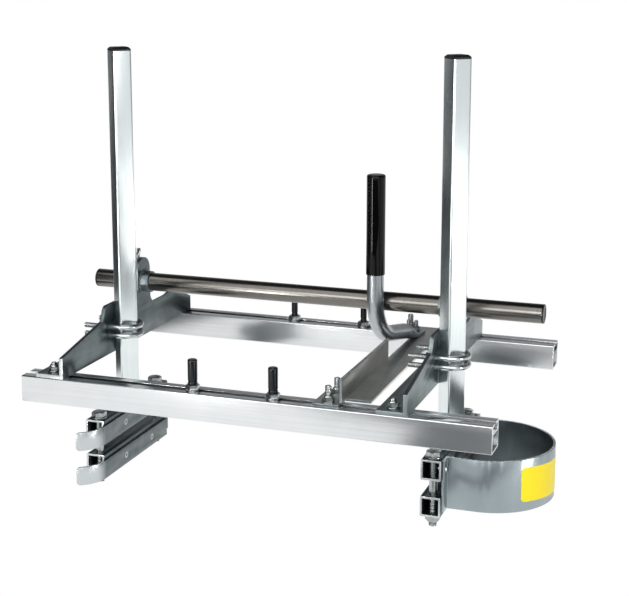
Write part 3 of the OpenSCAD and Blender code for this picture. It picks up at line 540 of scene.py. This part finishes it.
def weld_tree():
    """A row of overlapping scales along a line, each a little different, on a bead that joins them."""
    tree, entry, leave = node_tree("weld_row", [
        ("Size", "NodeSocketFloat"), ("Step", "NodeSocketFloat"), ("Seed", "NodeSocketInt"),
        ("Metal", "NodeSocketMaterial")])
    line = add(tree, "GeometryNodeMeshToCurve", {"Mesh": entry.outputs["Geometry"]}).outputs[0]
    row = add(tree, "GeometryNodeResampleCurve", {
        "Curve": line, "Length": entry.outputs["Step"]}, mode="LENGTH").outputs[0]
    scale = add(tree, "GeometryNodeMeshIcoSphere", {
        "Radius": entry.outputs["Size"], "Subdivisions": 2}).outputs[0]
    vary = add(tree, "FunctionNodeRandomValue", {
        0: (0.85, 0.80, 0.70), 1: (1.15, 1.05, 0.95), "Seed": entry.outputs["Seed"]},
        data_type="FLOAT_VECTOR").outputs[0]
    beads = add(tree, "GeometryNodeInstanceOnPoints", {
        "Points": row, "Instance": scale, "Scale": vary}).outputs[0]
    thin = add(tree, "ShaderNodeMath", {0: entry.outputs["Size"], 1: 0.7}, operation="MULTIPLY").outputs[0]
    profile = add(tree, "GeometryNodeCurvePrimitiveCircle", {"Resolution": 8, "Radius": thin}).outputs[0]
    bead = add(tree, "GeometryNodeCurveToMesh", {
        "Curve": row, "Profile Curve": profile, "Fill Caps": True}).outputs[0]
    both = add(tree, "GeometryNodeJoinGeometry")
    for part in (beads, bead):
        tree.links.new(part, both.inputs[0])
    plain = add(tree, "GeometryNodeRealizeInstances", {"Geometry": both.outputs[0]}).outputs[0]
    done = add(tree, "GeometryNodeSetMaterial", {
        "Geometry": plain, "Material": entry.outputs["Metal"]}).outputs[0]
    tree.links.new(done, leave.inputs[0])
    return tree


THREADS = thread_tree()
WELDS = weld_tree()


def thread(name, node, starts, radius, pitch, length, material=bolt_metal):
    """Threads on a node's rods: starts holds each one's first point and its direction."""
    mesh = bpy.data.meshes.new(name + "_starts")
    mesh.from_pydata([tuple(point) for point, _ in starts], [], [])
    ahead = mesh.attributes.new("ahead", "FLOAT_VECTOR", "POINT")
    ahead.data.foreach_set("vector", [c for _, direction in starts for c in direction])
    made = grown(name, mesh, THREADS, {
        "Radius": radius, "Pitch": pitch, "Turns": length / pitch, "Metal": material})
    settle(name, made, material, node, replaced=False, smooth=60)


def weld(name, node, lines, size):
    """Weld beads along lines of points, on the body of a node."""
    points = [tuple(p) for line in lines for p in line]
    edges = []
    first = 0
    for line in lines:
        edges += [(first + k, first + k + 1) for k in range(len(line) - 1)]
        first += len(line)
    mesh = bpy.data.meshes.new(name + "_lines")
    mesh.from_pydata(points, edges, [])
    made = grown(name, mesh, WELDS, {"Size": size, "Step": size * 0.8, "Seed": 7, "Metal": weld_metal})
    settle(name, made, weld_metal, node, replaced=False, smooth=60)


# Rails, plates and tubes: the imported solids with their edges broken

def dress_plates():
    """Dresses each plate, rail and tube; the picks give sawn ends their metal, and paint light and shade on
    chosen faces: bright highlights on edges and front faces, a lighter +X side and darker front on the cross
    bracket, a darker inside on the guard.
    """
    bracket_front = -150 * MM
    web_top = 183 * MM
    guard_tab = 4 * MM
    for node in ("front_rail", "rear_rail"):
        softened(node, rail_metal, sawn_metal, edge=0.4, highlit_edges=False,
                 pick=lambda normal, middle: int(abs(normal.x) > 0.9))
    # Left bracket in a darker copy of the plate zinc as painted shade; its front-facing faces near the front
    # and both brackets' broken edges are painted bright as highlight
    softened("left_end_bracket", painted_shade_plate, painted_edge_highlight, edge=1.0, segments=3,
             pick=lambda normal, middle: int(normal.y < -0.9 and middle.y < bracket_front))
    softened("right_end_bracket", plate_metal, painted_edge_highlight, edge=1.0, segments=3)
    # Cross bracket: faces looking along +X painted lighter and front faces painted darker (jaw zinc), as
    # light and shade; upward faces on the web's top painted bright as a highlight
    softened("cross_bracket", sheet_metal, painted_edge_highlight, painted_light_web, jaw_metal, edge=0.7,
             pick=lambda normal, middle: 2 if normal.x > 0.9 else 3 if normal.y < -0.9 else
             int(normal.z > 0.3 and middle.z > web_top))
    for node in ("left_bar_sleeve", "right_bar_sleeve"):
        softened(node, plate_metal, edge=0.5)
    # Jaw tubes: their end faces and broken edges are painted bright as highlight
    for node in ("left_upper_jaw", "left_lower_jaw", "right_upper_jaw", "right_lower_jaw"):
        softened(node, jaw_metal, painted_edge_highlight, edge=0.6,
                 pick=lambda normal, middle: int(abs(normal.y) > 0.9))
    # Skids: their broken edges are painted bright as highlight
    for node in ("left_upper_skid", "left_lower_skid"):
        softened(node, skid_metal, painted_edge_highlight, edge=0.5)
    low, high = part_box("nose_guard")
    axis = Vector((high.x - GUARD_R, (low.y + high.y) / 2, 0))

    def guard_side(normal, middle):
        """2 for the guard's inside, painted darker as shade, 1 for its cut edges, painted bright as
        highlight, and 0 for its outside.
        """
        out = Vector((max(middle.x - axis.x, 0), middle.y - axis.y, 0))
        inside = abs(normal.z) < 0.5 and middle.x > low.x + guard_tab and normal.dot(out) < 0
        return 2 if inside else int(abs(normal.z) > 0.5)
    softened("nose_guard", guard_metal, painted_edge_highlight, painted_shade_inside, edge=0.6, pick=guard_side)
    for node in ("left_post", "right_post"):
        softened(node, post_metal, edge=0.4)
    for node in ("left_post_cap", "right_post_cap"):
        softened(node, cap_plastic, edge=0.6, segments=3)
    for node in ("left_wing_screw", "right_wing_screw"):
        softened(node, bolt_metal, edge=0.5, segments=3)


# Push bar and handle

def lying(point):
    """Stands a turned shape at a point, its axis along the rails."""
    return Matrix.Translation(point) @ Matrix.Rotation(TAU / 4, 4, "Y")


def push_bar():
    """The hollow push bar and the plugs in its ends."""
    wall = 2 * MM
    low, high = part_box("push_bar")
    middle = (low + high) / 2
    radius = (high.z - low.z) / 2
    length = high.x - low.x
    bm = bmesh.new()
    outline = [(radius - wall, 0), (radius, 0), (radius, length), (radius - wall, length)]
    lathe(bm, rounded(outline, 0.5 * MM, closed=True), lying((low.x, middle.y, middle.z)), 96,
          hollow=True)
    built("push_bar_tube", bm, bar_metal, "push_bar")

    bm = bmesh.new()
    stem = 12 * MM
    for low, high in solids("push_bar_plugs"):
        head = (high.x - low.x) - stem
        left = low.x < 0
        place = lying((low.x if left else high.x, middle.y, middle.z))
        if not left:
            place = place @ Matrix.Rotation(TAU / 2, 4, "X")
        inner = radius - wall - 0.1 * MM
        dish = 0.5 * MM
        outline = [(radius * 0.62, dish), (radius * 0.70, 0), (radius, 0), (radius, head),
                   (inner, head), (inner, head + stem)]
        lathe(bm, rounded(outline, 0.8 * MM), place, 64)
    built("push_bar_end_plugs", bm, cap_plastic, "push_bar_plugs")


def superellipse(half_side, half_up, power, count=40):
    """A section between an ellipse (power 2) and a rounded rectangle (power 8)."""
    points = []
    for i in range(count):
        a = TAU * i / count
        side, up = math.cos(a), math.sin(a)
        points.append((half_side * math.copysign(abs(side) ** (2 / power), side),
                       half_up * math.copysign(abs(up) ** (2 / power), up)))
    return points


def handle():
    """The handle's tube from the grip down: straight, bent, sloping, then pressed flat as a bolted
    pad. Each station holds its reach from the upright, its height, half sizes and section power."""
    washer_seat = 3 * MM
    bolt_head_h = 4 * MM
    radius = 11 * MM
    bend_r = 62 * MM
    bend_start = 88 * MM
    squeeze = 24 * MM
    pad_t = 6 * MM
    pad_w = 30 * MM
    pad_len = 30 * MM
    rail_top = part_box("front_rail")[1].z
    grip_low, grip_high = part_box("handle_grip")
    bolts_low, bolts_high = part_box("handle_bolts")
    foot_top = bolts_low.z + bolt_head_h + washer_seat
    top = Vector(((grip_low.x + grip_high.x) / 2, (grip_low.y + grip_high.y) / 2, grip_high.z - 3 * MM))
    pad = Vector(((bolts_low.x + bolts_high.x) / 2, (bolts_low.y + bolts_high.y) / 2, foot_top + pad_t / 2))
    back = Vector((pad.x - top.x, pad.y - top.y, 0))
    pad_reach = back.length - pad_len / 2
    back.normalize()
    tail_reach = pad_reach - squeeze
    bend_z = rail_top + bend_start
    tail_z = foot_top + radius + 2 * MM
    drop = bend_z - tail_z
    span = math.hypot(tail_reach - bend_r, drop)
    bend = math.pi - math.atan2(drop, tail_reach - bend_r) - math.acos(bend_r / span)

    stations = [(0, top.z, radius, radius, 2), (0, bend_z, radius, radius, 2)]
    for k in range(1, 25):
        b = bend * k / 24
        stations.append((bend_r * (1 - math.cos(b)), bend_z - bend_r * math.sin(b), radius, radius, 2))
    for k in range(17):
        t = k / 16
        ease = t * t * (3 - 2 * t)
        stations.append((
            tail_reach + squeeze * t, tail_z + (pad.z - tail_z) * (0.4 * t + 0.6 * ease),
            radius + (pad_w / 2 - radius) * ease, radius + (pad_t / 2 - radius) * ease, 2 + 6 * ease))
    end = pad_reach + pad_len
    for reach, shrink in ((end - 3 * MM, 0), (end - 1 * MM, 0.6 * MM), (end, 2 * MM)):
        stations.append((reach, pad.z, pad_w / 2 - shrink, pad_t / 2 - shrink * 0.4, 8))

    bm = bmesh.new()
    across = Vector((-back.y, back.x, 0))
    rows = []
    count = len(stations)
    for k, (reach, z, half_side, half_up, power) in enumerate(stations):
        before, after = stations[max(k - 1, 0)], stations[min(k + 1, count - 1)]
        ahead = (back * (after[0] - before[0]) + Vector((0, 0, after[1] - before[1]))).normalized()
        up = ahead.cross(across)
        centre = Vector((top.x, top.y, z)) + back * reach
        rows.append([bm.verts.new(centre + across * s + up * u)
                     for s, u in superellipse(half_side, half_up, power)])
    for low, high in zip(rows, rows[1:]):
        for i, vert in enumerate(low):
            j = (i + 1) % len(low)
            bm.faces.new((vert, low[j], high[j], high[i]))
    bm.faces.new(rows[0])
    bm.faces.new(rows[-1])
    built("handle_bent_tube", bm, handle_metal, "handle_tube", smooth=50)

    bm = bmesh.new()
    outer = (grip_high.x - grip_low.x) / 2
    height = grip_high.z - grip_low.z
    bore = radius + FIT
    outline = [(bore, 6 * MM), (bore, 0), (outer, 0), (outer, height * 0.5), (outer, height - 9 * MM),
               (outer, height), (outer * 0.4, height)]
    lathe(bm, rounded(outline, 3.2 * MM, steps=6), upright(top.x, top.y, grip_low.z), 64)
    built("dipped_grip", bm, grip_plastic, "handle_grip", smooth=50)


# Post clamps

def post_clamps(side):
    """The two U-bolts round a post: their rods, threads and nuts."""
    bm = bmesh.new()
    rod = U_THREAD / 2
    starts = []
    thread_len = 27 * MM
    for low, high in solids(side + "_u_bolts"):
        z = (low.z + high.z) / 2
        y = (low.y + high.y) / 2
        turn_r = (high.y - low.y) / 2 - rod
        x = high.x - turn_r - rod
        core = rod - 0.55 * MM
        straight = [low.x, low.x + TIP, low.x + thread_len, low.x + thread_len + TIP]
        radii = [core - TIP / 2, core, core, rod]
        path = [(px, y - turn_r, z) for px in straight]
        sizes = list(radii)
        for k in range(33):
            a = -TAU / 4 + TAU / 2 * k / 32
            path.append((x + turn_r * math.cos(a), y + turn_r * math.sin(a), z))
            sizes.append(rod)
        path += [(px, y + turn_r, z) for px in reversed(straight)]
        sizes += reversed(radii)
        sweep(bm, path, [circle_section(r) for r in sizes])
        for way in (-1, 1):
            starts.append(((low.x + TIP, y + way * turn_r, z), (1, 0, 0)))
    built(side + "_clamp_rods", bm, clamp_metal, side + "_u_bolts", smooth=50)
    thread(side + "_clamp_threads", side + "_u_bolts", starts, rod, 1.0 * MM, thread_len - TIP,
           clamp_metal)

    bm = bmesh.new()
    for low, high in solids(side + "_u_bolt_nuts"):
        middle = (low + high) / 2
        place = Matrix.Translation((high.x, middle.y, middle.z)) @ Matrix.Rotation(-TAU / 4, 4, "Y")
        place = place @ Matrix.Rotation(TAU / 12, 4, "Z")
        lathe(bm, hex_outline(U_FLATS, 0, high.x - low.x, rod + FIT), place, FACETS, hollow=True)
    built(side + "_clamp_nuts", bm, bolt_metal, side + "_u_bolt_nuts")


# Screwed joints

def lock_nut(bm, flats, height, bore, place):
    """A hexagon nut with a round collar that holds its locking ring."""
    hexed = 0.68 * height
    wide = hexagon(flats)
    chamfer = flats / 2 * CHAMFER
    collar = flats / 2 * 0.86
    drop = lambda a: (wide(a) - chamfer) * CONE
    ease = 0.4 * MM
    outline = [(bore, ease), (bore + ease, 0), (chamfer, 0), (wide, drop), (wide, lambda a: hexed - drop(a)),
               (chamfer, hexed), (collar, hexed + 0.2 * MM), (collar, height - 1.0 * MM),
               (collar - 0.4 * MM, height - 0.3 * MM), (collar - 1.2 * MM, height),
               (bore + ease, height - 0.3 * MM), (bore, height - 1.0 * MM)]
    lathe(bm, outline, place, FACETS, hollow=True)


def nuts_on_washers(node, flats, bore):
    """Lock nuts on washers; those under a tube hang from it."""
    bm = bmesh.new()
    for low, high in solids(node):
        middle = (low + high) / 2
        below = "jaw" in node
        place = upright(middle.x, middle.y, high.z if below else low.z)
        if below:
            place = place @ Matrix.Rotation(TAU / 2, 4, "X")
        washer(bm, (high.x - low.x) / 2, bore + 0.1 * MM, place)
        lock_nut(bm, flats, high.z - low.z - WASHER_T, bore + FIT,
                 place @ Matrix.Translation((0, 0, WASHER_T)))
    built(node + "_finished", bm, bolt_metal, node)


def rod_outline(radius, low, high, core_from, depth):
    """Outline of a rod from low to high whose core is cut down from core_from on, with a bevelled tip."""
    core = radius - depth
    return [(radius, low), (radius, core_from - depth), (core, core_from), (core, high - TIP),
            (core - TIP * 0.7, high)]


def slot_bolts(node, radius, pitch, nut_top):
    """Bolts whose flat heads hang in a rail's channel; only what stands above the nut is threaded."""
    bm = bmesh.new()
    starts = []
    length = 0
    ease = 0.4 * MM
    for low, high in solids(node):
        middle = (low + high) / 2
        wide, deep = (high.x - low.x) / 2, (high.y - low.y) / 2
        if deep > 9 * MM:  # a flat square head; the smaller ones are hexagons
            corners = [(-wide, -deep), (wide, -deep), (wide, deep), (-wide, deep)]
            corners = rounded(corners, 1 * MM, closed=True)
            rings = []
            for z, shrink in ((0, ease), (ease, 0), (SLOT_HEAD_T - ease, 0), (SLOT_HEAD_T, ease)):
                rings.append([bm.verts.new((middle.x + x * (1 - shrink / wide),
                                            middle.y + y * (1 - shrink / deep), low.z + z))
                              for x, y in corners])
            for below, above in zip(rings, rings[1:]):
                for i, vert in enumerate(below):
                    j = (i + 1) % len(below)
                    bm.faces.new((vert, below[j], above[j], above[i]))
            bm.faces.new(reversed(rings[0]))
            bm.faces.new(rings[-1])
        else:
            lathe(bm, hex_outline(FOOT_FLATS, 0, SLOT_HEAD_T), upright(middle.x, middle.y, low.z), FACETS)
        core_from = nut_top - 2 * MM
        shank = rod_outline(radius, low.z + SLOT_HEAD_T - ROOT, high.z, core_from, pitch * THREAD_DEPTH)
        lathe(bm, shank, upright(middle.x, middle.y, 0), 32)
        starts.append(((middle.x, middle.y, core_from), (0, 0, 1)))
        length = high.z - core_from - TIP
    built(node + "_finished", bm, bolt_metal, node)
    thread(node + "_threads", node, starts, radius, pitch, length)


def jaw_bolts(side):
    """The bolts that close a pair of jaws, their heads on washers and their threads below."""
    node = side + "_jaw_bolts"
    bm = bmesh.new()
    starts = []
    radius = JAW_THREAD / 2
    pitch = 1.5 * MM
    thread_len = 40 * MM
    head_h = 6.5 * MM
    for low, high in solids(node):
        middle = (low + high) / 2
        seat = high.z - head_h - WASHER_T
        washer(bm, (high.x - low.x) / 2, radius + 0.1 * MM, upright(middle.x, middle.y, seat))
        lathe(bm, hex_outline(JAW_FLATS, seat + WASHER_T, high.z), upright(middle.x, middle.y, 0), FACETS)
        place = upright(middle.x, middle.y, seat + WASHER_T) @ Matrix.Rotation(TAU / 2, 4, "X")
        length = seat + WASHER_T - low.z
        lathe(bm, rod_outline(radius, 0, length, length - thread_len, pitch * THREAD_DEPTH), place, 40)
        starts.append(((middle.x, middle.y, low.z + TIP), (0, 0, 1)))
    built(node + "_finished", bm, bolt_metal, node)
    thread(node + "_threads", node, starts, radius, pitch, thread_len - TIP)


def handle_fastenings():
    """The two bolts and nuts that hold the handle's pad on the cross bracket."""
    bm = bmesh.new()
    radius = PAD_THREAD / 2
    pitch = 1.0 * MM
    head_h = 4 * MM
    starts = []
    nuts = solids("handle_nuts")
    core_from = nuts[0][1].z - 1 * MM
    for low, high in solids("handle_bolts"):
        middle = (low + high) / 2
        lathe(bm, hex_outline(PAD_FLATS, 0, head_h), upright(middle.x, middle.y, low.z, TAU / 12), FACETS)
        shank = rod_outline(radius, low.z + head_h - ROOT, high.z, core_from, pitch * THREAD_DEPTH)
        lathe(bm, shank, upright(middle.x, middle.y, 0), 28)
        starts.append(((middle.x, middle.y, core_from), (0, 0, 1)))
    built("handle_bolts_finished", bm, bolt_metal, "handle_bolts")
    thread("handle_bolt_threads", "handle_bolts", starts, radius, pitch, high.z - core_from - TIP)

    bm = bmesh.new()
    for low, high in nuts:
        middle = (low + high) / 2
        lathe(bm, hex_outline(PAD_FLATS, 0, high.z - low.z, radius + FIT),
              upright(middle.x, middle.y, low.z, TAU / 12), FACETS, hollow=True)
    built("handle_nuts_finished", bm, bolt_metal, "handle_nuts")


def stop_stud(name):
    """A turned stud with a rounded top, on a threaded foot that hangs in the rail's channel."""
    low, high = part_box(name)
    nut_low, nut_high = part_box(name + "_nut")
    middle = (nut_low + nut_high) / 2
    shoulder = {"front": 6, "rear": 4.5}[name.split("_")[0]] * MM
    wide = (high.x - low.x) / 2
    bm = bmesh.new()
    foot = [(wide, low.z), (wide, low.z + SLOT_HEAD_T)]
    lathe(bm, foot, Matrix.Translation((middle.x, middle.y, 0)) @ Matrix.Diagonal((0.98, 0.98, 1, 1)), 4)
    waist = shoulder - 0.5 * MM
    outline = [(STUD_THREAD / 2, low.z + SLOT_HEAD_T - ROOT), (STUD_THREAD / 2, nut_high.z),
               (shoulder, nut_high.z), (shoulder, nut_high.z + 3 * MM), (waist, nut_high.z + 3.6 * MM),
               (waist, nut_high.z + 4.6 * MM), (shoulder, nut_high.z + 5.2 * MM),
               (shoulder, high.z), (shoulder * 0.3, high.z)]
    lathe(bm, rounded(outline, 2 * MM, steps=5), upright(middle.x, middle.y, 0), FACETS)
    built(name + "_finished", bm, stud_metal, name)

    bm = bmesh.new()
    flange = (nut_high.x - nut_low.x) / 2
    bore = STUD_THREAD / 2 + FIT
    wide = hexagon(STUD_FLATS)
    chamfer = STUD_FLATS / 2 * CHAMFER
    height = nut_high.z - nut_low.z
    outline = [(bore, 0), (flange - 0.4 * MM, 0), (flange, 0.5 * MM), (flange, 1.2 * MM),
               (lambda a: wide(a) + 0.2 * MM, STUD_FLANGE_T), (wide, STUD_FLANGE_T + 0.4 * MM),
               (wide, lambda a: height - (wide(a) - chamfer) * 0.5), (chamfer, height), (bore, height)]
    lathe(bm, outline, upright(middle.x, middle.y, nut_low.z), FACETS, hollow=True)
    built(name + "_nut_finished", bm, bolt_metal, name + "_nut")


def socket_screws(node, way):
    """Small screws driven along the rails into a jaw tube; way is 1 for a raised head, 0 for a sunk one."""
    bm = bmesh.new()
    for low, high in solids(node):
        middle = (low + high) / 2
        head = (high.z - low.z) / 2
        length = high.x - low.x
        shank = 2.5 * MM
        head_h = 2.2 * MM
        socket = hexagon(3 * MM)
        rim = head * 0.72 if way else head * 0.98
        outline = [(shank, 0), (shank, length - head_h), (head if way else shank, length - head_h),
                   (head, length - (1.2 * MM if way else 0.4 * MM)), (rim, length), (socket, length),
                   (socket, length - 1.5 * MM)]
        lathe(bm, outline, lying((low.x, middle.y, middle.z)), 36)
    built(node + "_finished", bm, bolt_metal, node)


# Welds and the sticker

def welds():
    """Fillets between each post and its jaw tube, and round each sleeve on both sides of its plate."""
    half_jaw = 12.7 * MM
    sleeve_wall = 2.3 * MM
    plate_t = 5 * MM
    for side in ("left", "right"):
        low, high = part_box(side + "_post")
        jaw_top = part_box(side + "_upper_jaw")[1].z
        middle = (low + high) / 2
        corner = (high.y - low.y) / 2
        shoulder = corner - half_jaw + 1.4 * MM
        lines = []
        for way in (-1, 1):
            lines.append([(middle.x - half_jaw + 1 * MM, middle.y + way * shoulder, jaw_top),
                          (middle.x - 2 * MM, middle.y + way * (corner - 0.6 * MM), jaw_top),
                          (middle.x + 2 * MM, middle.y + way * (corner - 0.6 * MM), jaw_top),
                          (middle.x + half_jaw - 1 * MM, middle.y + way * shoulder, jaw_top)])
        weld(side + "_post_weld", side + "_post", lines, 1.8 * MM)

        bar_low, bar_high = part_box("push_bar")
        centre = (bar_low + bar_high) / 2
        radius = (bar_high.z - bar_low.z) / 2 + sleeve_wall
        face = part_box(side + "_end_bracket")[1].x
        lines = []
        for x in (face, face - plate_t):
            lines.append([(x, centre.y + (radius + 0.6 * MM) * math.cos(TAU * k / 48),
                           centre.z + (radius + 0.6 * MM) * math.sin(TAU * k / 48)) for k in range(49)])
        weld(side + "_sleeve_weld", side + "_bar_sleeve", lines, 1.3 * MM)


def sticker():
    """Blank yellow sticker that follows the guard's bend, set on with a slight slant."""
    thick = 0.25 * MM
    low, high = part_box("nose_guard")
    centre = Vector((high.x - GUARD_R, (low.y + high.y) / 2, 0))
    first, last = math.radians(-50), math.radians(20)
    top_first, top_last = high.z - 9.5 * MM, high.z - 16 * MM
    tall = 43 * MM
    steps_a, steps_z = 48, 16
    corner = 3 * MM
    bm = bmesh.new()
    grids = []
    for lift in (0.02 * MM, thick):
        rows = []
        for k in range(steps_z + 1):
            v = k / steps_z
            inset = max(0.0, corner - min(v, 1 - v) * tall)
            pull = corner - math.sqrt(max(corner ** 2 - inset ** 2, 0))
            row = []
            for i in range(steps_a + 1):
                u = i / steps_a
                a0, a1 = first + pull / GUARD_R, last - pull / GUARD_R
                a = a0 + (a1 - a0) * u
                z = top_first + (top_last - top_first) * (a - first) / (last - first) - tall * v
                r = GUARD_R + lift
                row.append(bm.verts.new((centre.x + r * math.cos(a), centre.y + r * math.sin(a), z)))
            rows.append(row)
        grids.append(rows)
    for rows in grids:
        for upper, lower in zip(rows, rows[1:]):
            for i in range(steps_a):
                bm.faces.new((upper[i], lower[i], lower[i + 1], upper[i + 1]))
    inner, outer = grids
    rim = lambda rows: (rows[0] + [r[-1] for r in rows[1:]] + rows[-1][-2::-1]
                        + [r[0] for r in rows[-2:0:-1]])
    around = list(zip(rim(inner), rim(outer)))
    for (a, b), (c, d) in zip(around, around[1:] + around[:1]):
        bm.faces.new((a, c, d, b))
    built("blank_sticker", bm, label_film, "nose_guard", replaced=False, smooth=60)


# The studio, and the whole scene

def studio():
    """Floor and lamps, and the cloths and cards round the object that the metal mirrors."""
    card_z = 4 * MM
    cloth_z = 3 * MM
    laid("floor", (-30, 30), (-30, 40), 0, studio_floor())
    flag = flag_cloth("black_flag", "#3E4143")
    grey = flag_cloth("grey_card", "#7A7D7E")
    laid("floor_card", (0.22, 0.55), (-1.1, -0.41), card_z, grey)
    laid("rear_card", (0.12, 0.32), (-0.37, -0.25), card_z, grey)
    laid("left_cloth", (-0.85, -0.5), (-0.3, 0.4), cloth_z, flag)
    laid("back_cloth", (-0.9, 0.12), (0.42, 1.3), cloth_z, grey)
    flag_x = -0.85
    card("left_flag", [(flag_x, -0.7, 0.02), (flag_x, 0.4, 0.02), (flag_x, 0.4, 0.9), (flag_x, -0.7, 0.9)],
         flag)
    laid("front_cloth", (-1.2, 1.6), (-2.8, -1.1), cloth_z, flag)
    clamps = (0.09, 0.006, 0.28)
    softbox("top_light", (-0.3, -1.4, 2.2), (-0.3, -1.4, 0), 4.0, 2.0, 37)
    softbox("front_light", (0.3, -3.2, 1.5), (0.05, 0, 0.3), 5.0, 1.5, 92)
    softbox("right_light", (2.2, -1.0, 0.9), (0, 0, 0.3), 1.6, 1.6, 4)
    softbox("left_strip", (-0.52, -1.03, 0.16), clamps, 0.06, 0.3, 2.4)
    softbox("right_strip", (1.21, -0.43, 0.16), clamps, 0.06, 0.3, 3.2)


def studio_world():
    """The room: grey round the object and dark overhead in what the metal mirrors, white to the
    camera and below the floor."""
    world = bpy.data.worlds.new("studio")
    world.use_nodes = True
    tree = world.node_tree
    seen = add(tree, "ShaderNodeLightPath").outputs["Is Camera Ray"]
    way = add(tree, "ShaderNodeSeparateXYZ", {0: add(tree, "ShaderNodeTexCoord").outputs["Generated"]})
    height = add(tree, "ShaderNodeMapRange", {
        "Value": way.outputs["Z"], "From Min": 0.4, "From Max": 0.75}).outputs[0]
    sky = add(tree, "ShaderNodeMix", {
        0: height, 6: linear("#9EA0A2"), 7: linear("#343536")}, data_type="RGBA")
    below = add(tree, "ShaderNodeMath", {0: way.outputs["Z"], 1: 0.0}, operation="LESS_THAN").outputs[0]
    white = add(tree, "ShaderNodeMath", {0: seen, 1: below}, operation="MAXIMUM").outputs[0]
    tone = add(tree, "ShaderNodeMix", {
        0: white, 6: sky.outputs[2], 7: linear("#FFFFFF")}, data_type="RGBA")
    tree.links.new(tone.outputs[2], tree.nodes["Background"].inputs["Color"])
    bpy.context.scene.world = world


make_camera()
dress_plates()
push_bar()
handle()
for side in ("left", "right"):
    post_clamps(side)
    nuts_on_washers(side + "_foot_nuts", FOOT_FLATS, FOOT_THREAD / 2)
    slot_bolts(side + "_foot_bolts", FOOT_THREAD / 2, 1.25 * MM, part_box(side + "_foot_nuts")[1].z)
    jaw_bolts(side)
    nuts_on_washers(side + "_jaw_nuts", JAW_FLATS, JAW_THREAD / 2)
nuts_on_washers("cross_foot_nuts", FOOT_FLATS, FOOT_THREAD / 2)
slot_bolts("cross_foot_bolts", FOOT_THREAD / 2, 1.25 * MM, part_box("cross_foot_nuts")[1].z)
handle_fastenings()
for name in ("front_left_stud", "front_right_stud", "rear_left_stud", "rear_right_stud"):
    stop_stud(name)
for node in ("left_upper_skid_screws", "left_lower_skid_screws"):
    socket_screws(node, 0)
socket_screws("guard_screws", 1)
welds()
sticker()

studio()
studio_world()
bpy.context.scene.view_settings.view_transform = "Standard"
